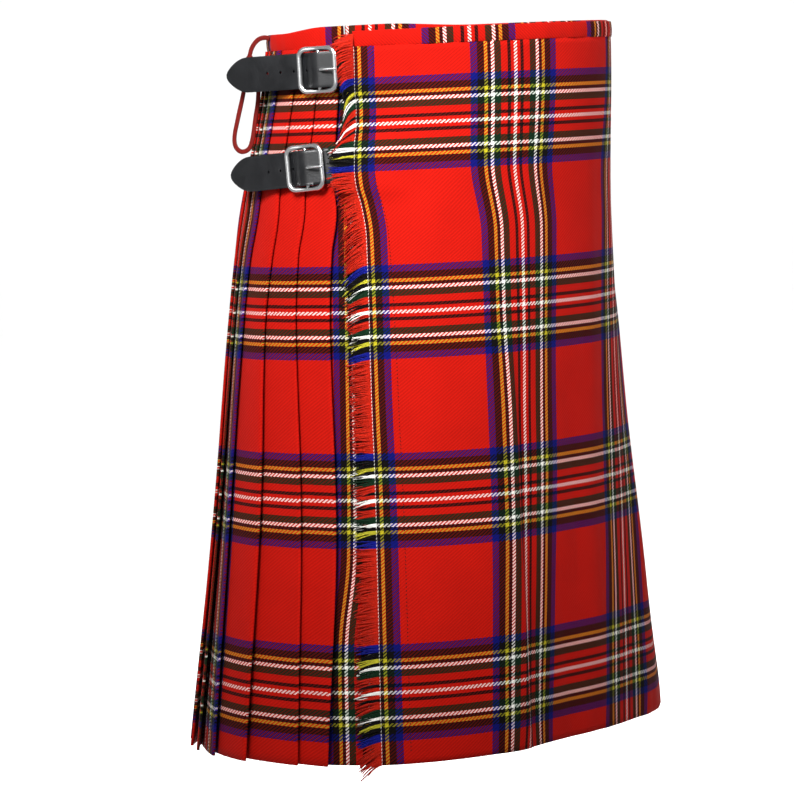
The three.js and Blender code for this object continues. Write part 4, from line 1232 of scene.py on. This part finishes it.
def rounded_loop(length, height, corner, steps):
    """A rectangle's outline with round corners, in the order of its corners' turns."""
    outline = []
    for sx, sy, quarter in ((1, 1, 0), (-1, 1, 1), (-1, -1, 2), (1, -1, 3)):
        for turn in np.linspace(0, math.pi / 2, steps) + math.pi / 2 * quarter:
            outline.append((sx * (length / 2 - corner) + corner * math.cos(turn),
                            sy * (height / 2 - corner) + corner * math.sin(turn)))
    return outline


def even_loop(outline, count):
    """The same outline with evenly spaced points."""
    closed = np.array(outline + outline[:1])
    lengths = np.concatenate([[0], np.cumsum(np.hypot(*np.diff(closed, axis=0).T))])
    at = np.linspace(0, lengths[-1], count + 1)[:-1]
    return np.stack([np.interp(at, lengths, axis) for axis in closed.T], -1)


def make_buckle(fastening, material, sides):
    hip = hip_frame(fastening)
    at, away = hip["at"], hip["away"]
    outline = rounded_loop(BUCKLE_LENGTH - 2 * BAR_RADIUS, BUCKLE_HEIGHT - 2 * BAR_RADIUS,
                           BUCKLE_CORNER - BAR_RADIUS, 8)
    ring = np.array([at(a, b, frame_out(a)) for a, b in even_loop(outline, RING_COLUMNS)])
    bm = bmesh.new()
    tube(bm, ring, BAR_RADIUS, (away, BAR_HALF_DEPTH), sides, loop=True)
    end = BUCKLE_HEIGHT / 2 - BAR_RADIUS
    bar = np.linspace(at(0, -end, CENTRE_BAR_OUT), at(0, end, CENTRE_BAR_OUT), 12)
    tube(bm, bar, CENTRE_BAR_RADIUS, (away, CENTRE_BAR_RADIUS), sides)
    finish_piece(f"buckle_{fastening['name']}", bm, material,
                 [f"buckle_frame_{fastening['name']}"], closed=True)

    # The prong's eye goes round the centre bar, and its point rests over the near end bar.
    turn = CENTRE_BAR_RADIUS + GAP + PRONG_RADIUS
    points = [at(turn * math.cos(angle), 0, CENTRE_BAR_OUT + turn * math.sin(angle))
              for angle in np.radians(np.linspace(-200, 80, 8))]
    near = -(BUCKLE_LENGTH / 2 - BAR_RADIUS)
    rest = SIDE_BAR_OUT + BAR_RADIUS + GAP + PRONG_RADIUS
    points += [at(-0.0035, 0, CENTRE_BAR_OUT + turn + 0.0016), at(-0.008, 0, rest + 0.0014),
               at(near, 0, rest), at(near - 0.0024, 0, rest - 0.0007)]
    line = curve_through(points, PRONG_COLUMNS)
    taper = 1.05 - 0.25 * smooth(0.5, 1.0, np.linspace(0, 1, PRONG_COLUMNS))
    bm = bmesh.new()
    tube(bm, line, PRONG_RADIUS, (hip["up"], PRONG_RADIUS), 12, shares=taper)
    finish_piece(f"prong_{fastening['name']}", bm, material,
                 [f"buckle_prong_{fastening['name']}"], closed=True)


class KILT_OT_buckles(bpy.types.Operator):
    """Makes the two centre-bar buckles and their prongs"""

    bl_idname = "kilt.buckles"
    bl_label = "Buckles"

    def execute(self, context):
        buckle = context.scene.kilt_buckle
        material = material_once("bright_chrome_plate", bright_chrome, tuple(buckle.colour))
        for fastening in FASTENINGS:
            make_buckle(fastening, material, buckle.sides)
        return {"FINISHED"}


# ------------------------------------------------------------------ hanging loop
# How much the ribbon cups across its width and waves along its length.
RIBBON_CUP, RIBBON_WAVE = 0.0002, 0.0003


def ribbon_strip(bm, route, count, loop):
    """Adds a flat ribbon along a route, its width in the loop's plane, with a slight wave."""
    line = curve_through(route, count, loop)
    step = (np.roll(line, -1, 0) - np.roll(line, 1, 0)) if loop else np.gradient(line, axis=0)
    step /= np.linalg.norm(step, axis=1)[:, None]
    across = np.stack([-step[:, 1], step[:, 0]], -1)
    lengths = np.concatenate([[0], np.cumsum(np.linalg.norm(np.diff(line, axis=0), axis=1))])
    if loop:
        line, across = np.vstack([line, line[:1]]), np.vstack([across, across[:1]])
        lengths = np.append(lengths, lengths[-1] + lengths[1])
    rows, cloth = [], []
    for side in np.linspace(-0.5, 0.5, 6):
        flat = line + across * side * RIBBON_WIDTH
        wave = RIBBON_CUP * np.cos(side * math.pi * 2) + RIBBON_WAVE * np.sin(lengths * 160) * side
        rows.append(np.stack([LOOP_X - wave, flat[:, 0], flat[:, 1]], -1))
        cloth.append(np.stack([lengths, np.full(len(lengths), side * RIBBON_WIDTH)], -1))
    mapped_grid(bm, np.array(rows), np.array(cloth), wrap=loop)


class KILT_OT_hanging_loop(bpy.types.Operator):
    """Makes the ribbon loop that the kilt hangs from when it is put away"""

    bl_idname = "kilt.hanging_loop"
    bl_label = "Hanging loop"

    def execute(self, context):
        bm = bmesh.new()
        ribbon_strip(bm, LOOP_STEM, 24, False)
        ribbon_strip(bm, LOOP_RING, 96, True)
        bmesh.ops.recalc_face_normals(bm, faces=bm.faces)
        material = material_once("ribbon_tape", woven_tape, linear("#6E110B"))
        ribbon = finish_piece("hanging_ribbon", bm, material, ["hanging_loop"])
        solidify(ribbon, RIBBON_THICKNESS)
        return {"FINISHED"}


# ------------------------------------------------------------------ stage
# The floor's profile from the middle outwards: it turns up into a low pale wall far behind.
FLOOR_PROFILE = table(
    "radius rise",
    (0.0, 0.0), (6.0, 0.0), (7.0, 0.10), (8.0, 0.45), (8.8, 1.05), (9.3, 1.9), (9.5, 3.0),
)
FLOOR_SIDES = 96
# Each light's place round the kilt, the height it is aimed at, its size, its beam's spread in degrees
# and its power. The panel is there for the chrome to mirror.
LIGHTS = table(
    "name azimuth elevation distance aim size spread watts",
    ("key", -80, 30, 1.9, -0.09, 0.6, 38, 4.05),
    ("front", -4, 22, 1.9, -0.09, 0.6, 38, 1.25),
    ("panel", -98, 10, 2.4, -0.07, 2.0, 38, 1.5),
    ("back", 130, 35, 3.2, -0.25, 2.0, 180, 10),
)
# A large light over the floor behind the kilt, turned away from it, keeps all that lies behind pale.
BEHIND = {"name": "behind", "radius": 2.4, "height": 2.2, "aim_radius": 8.0, "aim_height": 0.4,
          "size": 3.0, "watts": 350}
WORLD_STRENGTH = 0.30
# The camera circles a place this far below the middle of the frame's box.
TARGET_BELOW = 0.0047
SENSOR_WIDTH = 36


def direction(azimuth, elevation):
    """Unit vector toward a camera or light at these angles."""
    return Vector((math.sin(azimuth) * math.cos(elevation), -math.cos(azimuth) * math.cos(elevation),
                   math.sin(elevation)))


def make_floor(knee_height):
    bm = bmesh.new()
    floor_z = CAD_BOX[0].z - knee_height
    turn = np.linspace(0, 2 * math.pi, FLOOR_SIDES + 1)
    rings = [np.stack([row["radius"] * np.sin(turn), row["radius"] * np.cos(turn),
                       np.full_like(turn, floor_z + row["rise"])], -1) for row in FLOOR_PROFILE]
    mapped_grid(bm, np.array(rings), wrap=True)
    mesh = mesh_from("floor", bm)
    mesh.shade_smooth()
    material, _, _ = new_material("matte_white_floor", {
        "Base Color": (*linear("#F8F8F8"), 1), "Roughness": 1.0, "Specular IOR Level": 0.0})
    mesh.materials.append(material)
    link_new("floor", mesh)


def add_light(name, place_at, aim, size, watts, spread=180):
    light = bpy.data.lights.new(name, "AREA")
    light.energy, light.size, light.shape = watts, size, "SQUARE"
    light.spread = math.radians(spread)
    lamp = link_new(name, light)
    lamp.location = place_at
    lamp.rotation_euler = (place_at - aim).to_track_quat("Z", "Y").to_euler()


def make_lights(azimuth):
    """The lights round the kilt, the one behind it as seen from azimuth, and an even pale sky."""
    for row in LIGHTS:
        aim = Vector((0, 0, row["aim"]))
        toward = direction(math.radians(row["azimuth"]), math.radians(row["elevation"]))
        add_light(row["name"], aim + toward * row["distance"], aim, row["size"], row["watts"],
                  row["spread"])
    away = -direction(azimuth, 0)
    add_light(BEHIND["name"], away * BEHIND["radius"] + Vector((0, 0, BEHIND["height"])),
              away * BEHIND["aim_radius"] + Vector((0, 0, BEHIND["aim_height"])), BEHIND["size"],
              BEHIND["watts"])
    world = bpy.data.worlds.new("studio")
    world.use_nodes = True
    sky = world.node_tree.nodes["Background"]
    sky.inputs["Color"].default_value = (*linear("#FFFFFF"), 1)
    sky.inputs["Strength"].default_value = WORLD_STRENGTH
    bpy.context.scene.world = world


def make_camera(stage):
    target = Vector((0, 0, CAD_BOX[0].z / 2 - TARGET_BELOW))
    back = direction(stage.azimuth, stage.elevation)
    right = Vector((math.cos(stage.azimuth), math.sin(stage.azimuth), 0))
    location = target + back * stage.distance
    aim = target + right * stage.aim_side + back.cross(right) * stage.aim_up
    turn = (location - aim).normalized().to_track_quat("Z", "Y").to_matrix()
    camera = link_new("camera", bpy.data.cameras.new("camera"))
    camera.data.lens = stage.lens
    camera.data.sensor_width = SENSOR_WIDTH
    camera.location = location
    camera.rotation_euler = (turn @ Matrix.Rotation(stage.roll, 3, "Z")).to_euler()
    bpy.context.scene.camera = camera


class KILT_OT_stage(bpy.types.Operator):
    """Makes the floor, the soft lights and the camera"""

    bl_idname = "kilt.stage"
    bl_label = "Stage"

    def execute(self, context):
        stage = context.scene.kilt_stage
        make_floor(stage.knee_height)
        make_lights(stage.azimuth)
        make_camera(stage)
        context.scene.view_settings.view_transform = "Standard"
        return {"FINISHED"}


# ------------------------------------------------------------------ panel and registration
PIECE_OPERATORS = (
    KILT_OT_aprons, KILT_OT_pleats, KILT_OT_waistbands, KILT_OT_fringe, KILT_OT_stitching,
    KILT_OT_straps, KILT_OT_buckles, KILT_OT_hanging_loop, KILT_OT_stage,
)
SETTINGS = {
    "kilt_cloth": KiltClothSettings,
    "kilt_fringe": KiltFringeSettings,
    "kilt_leather": KiltLeatherSettings,
    "kilt_buckle": KiltBuckleSettings,
    "kilt_stage": KiltStageSettings,
}


class KILT_PT_panel(bpy.types.Panel):
    """Lists the kilt's pieces and their settings"""

    bl_label = "Kilt"
    bl_idname = "KILT_PT_panel"
    bl_space_type = "VIEW_3D"
    bl_region_type = "UI"
    bl_category = "Kilt"

    def draw(self, context):
        for operator in PIECE_OPERATORS:
            self.layout.operator(operator.bl_idname)
        for name, group in SETTINGS.items():
            box = self.layout.box()
            for prop in group.__annotations__:
                box.prop(getattr(context.scene, name), prop)


def register():
    for kind in (*SETTINGS.values(), *PIECE_OPERATORS, KILT_PT_panel):
        bpy.utils.register_class(kind)
    for name, group in SETTINGS.items():
        setattr(bpy.types.Scene, name, bpy.props.PointerProperty(type=group))


def unregister():
    for name in SETTINGS:
        delattr(bpy.types.Scene, name)
    for kind in (KILT_PT_panel, *reversed(PIECE_OPERATORS), *reversed(SETTINGS.values())):
        bpy.utils.unregister_class(kind)


def main():
    register()
    for operator in PIECE_OPERATORS:
        group, name = operator.bl_idname.split(".")
        getattr(getattr(bpy.ops, group), name)()


if __name__ == "__main__":
    main()
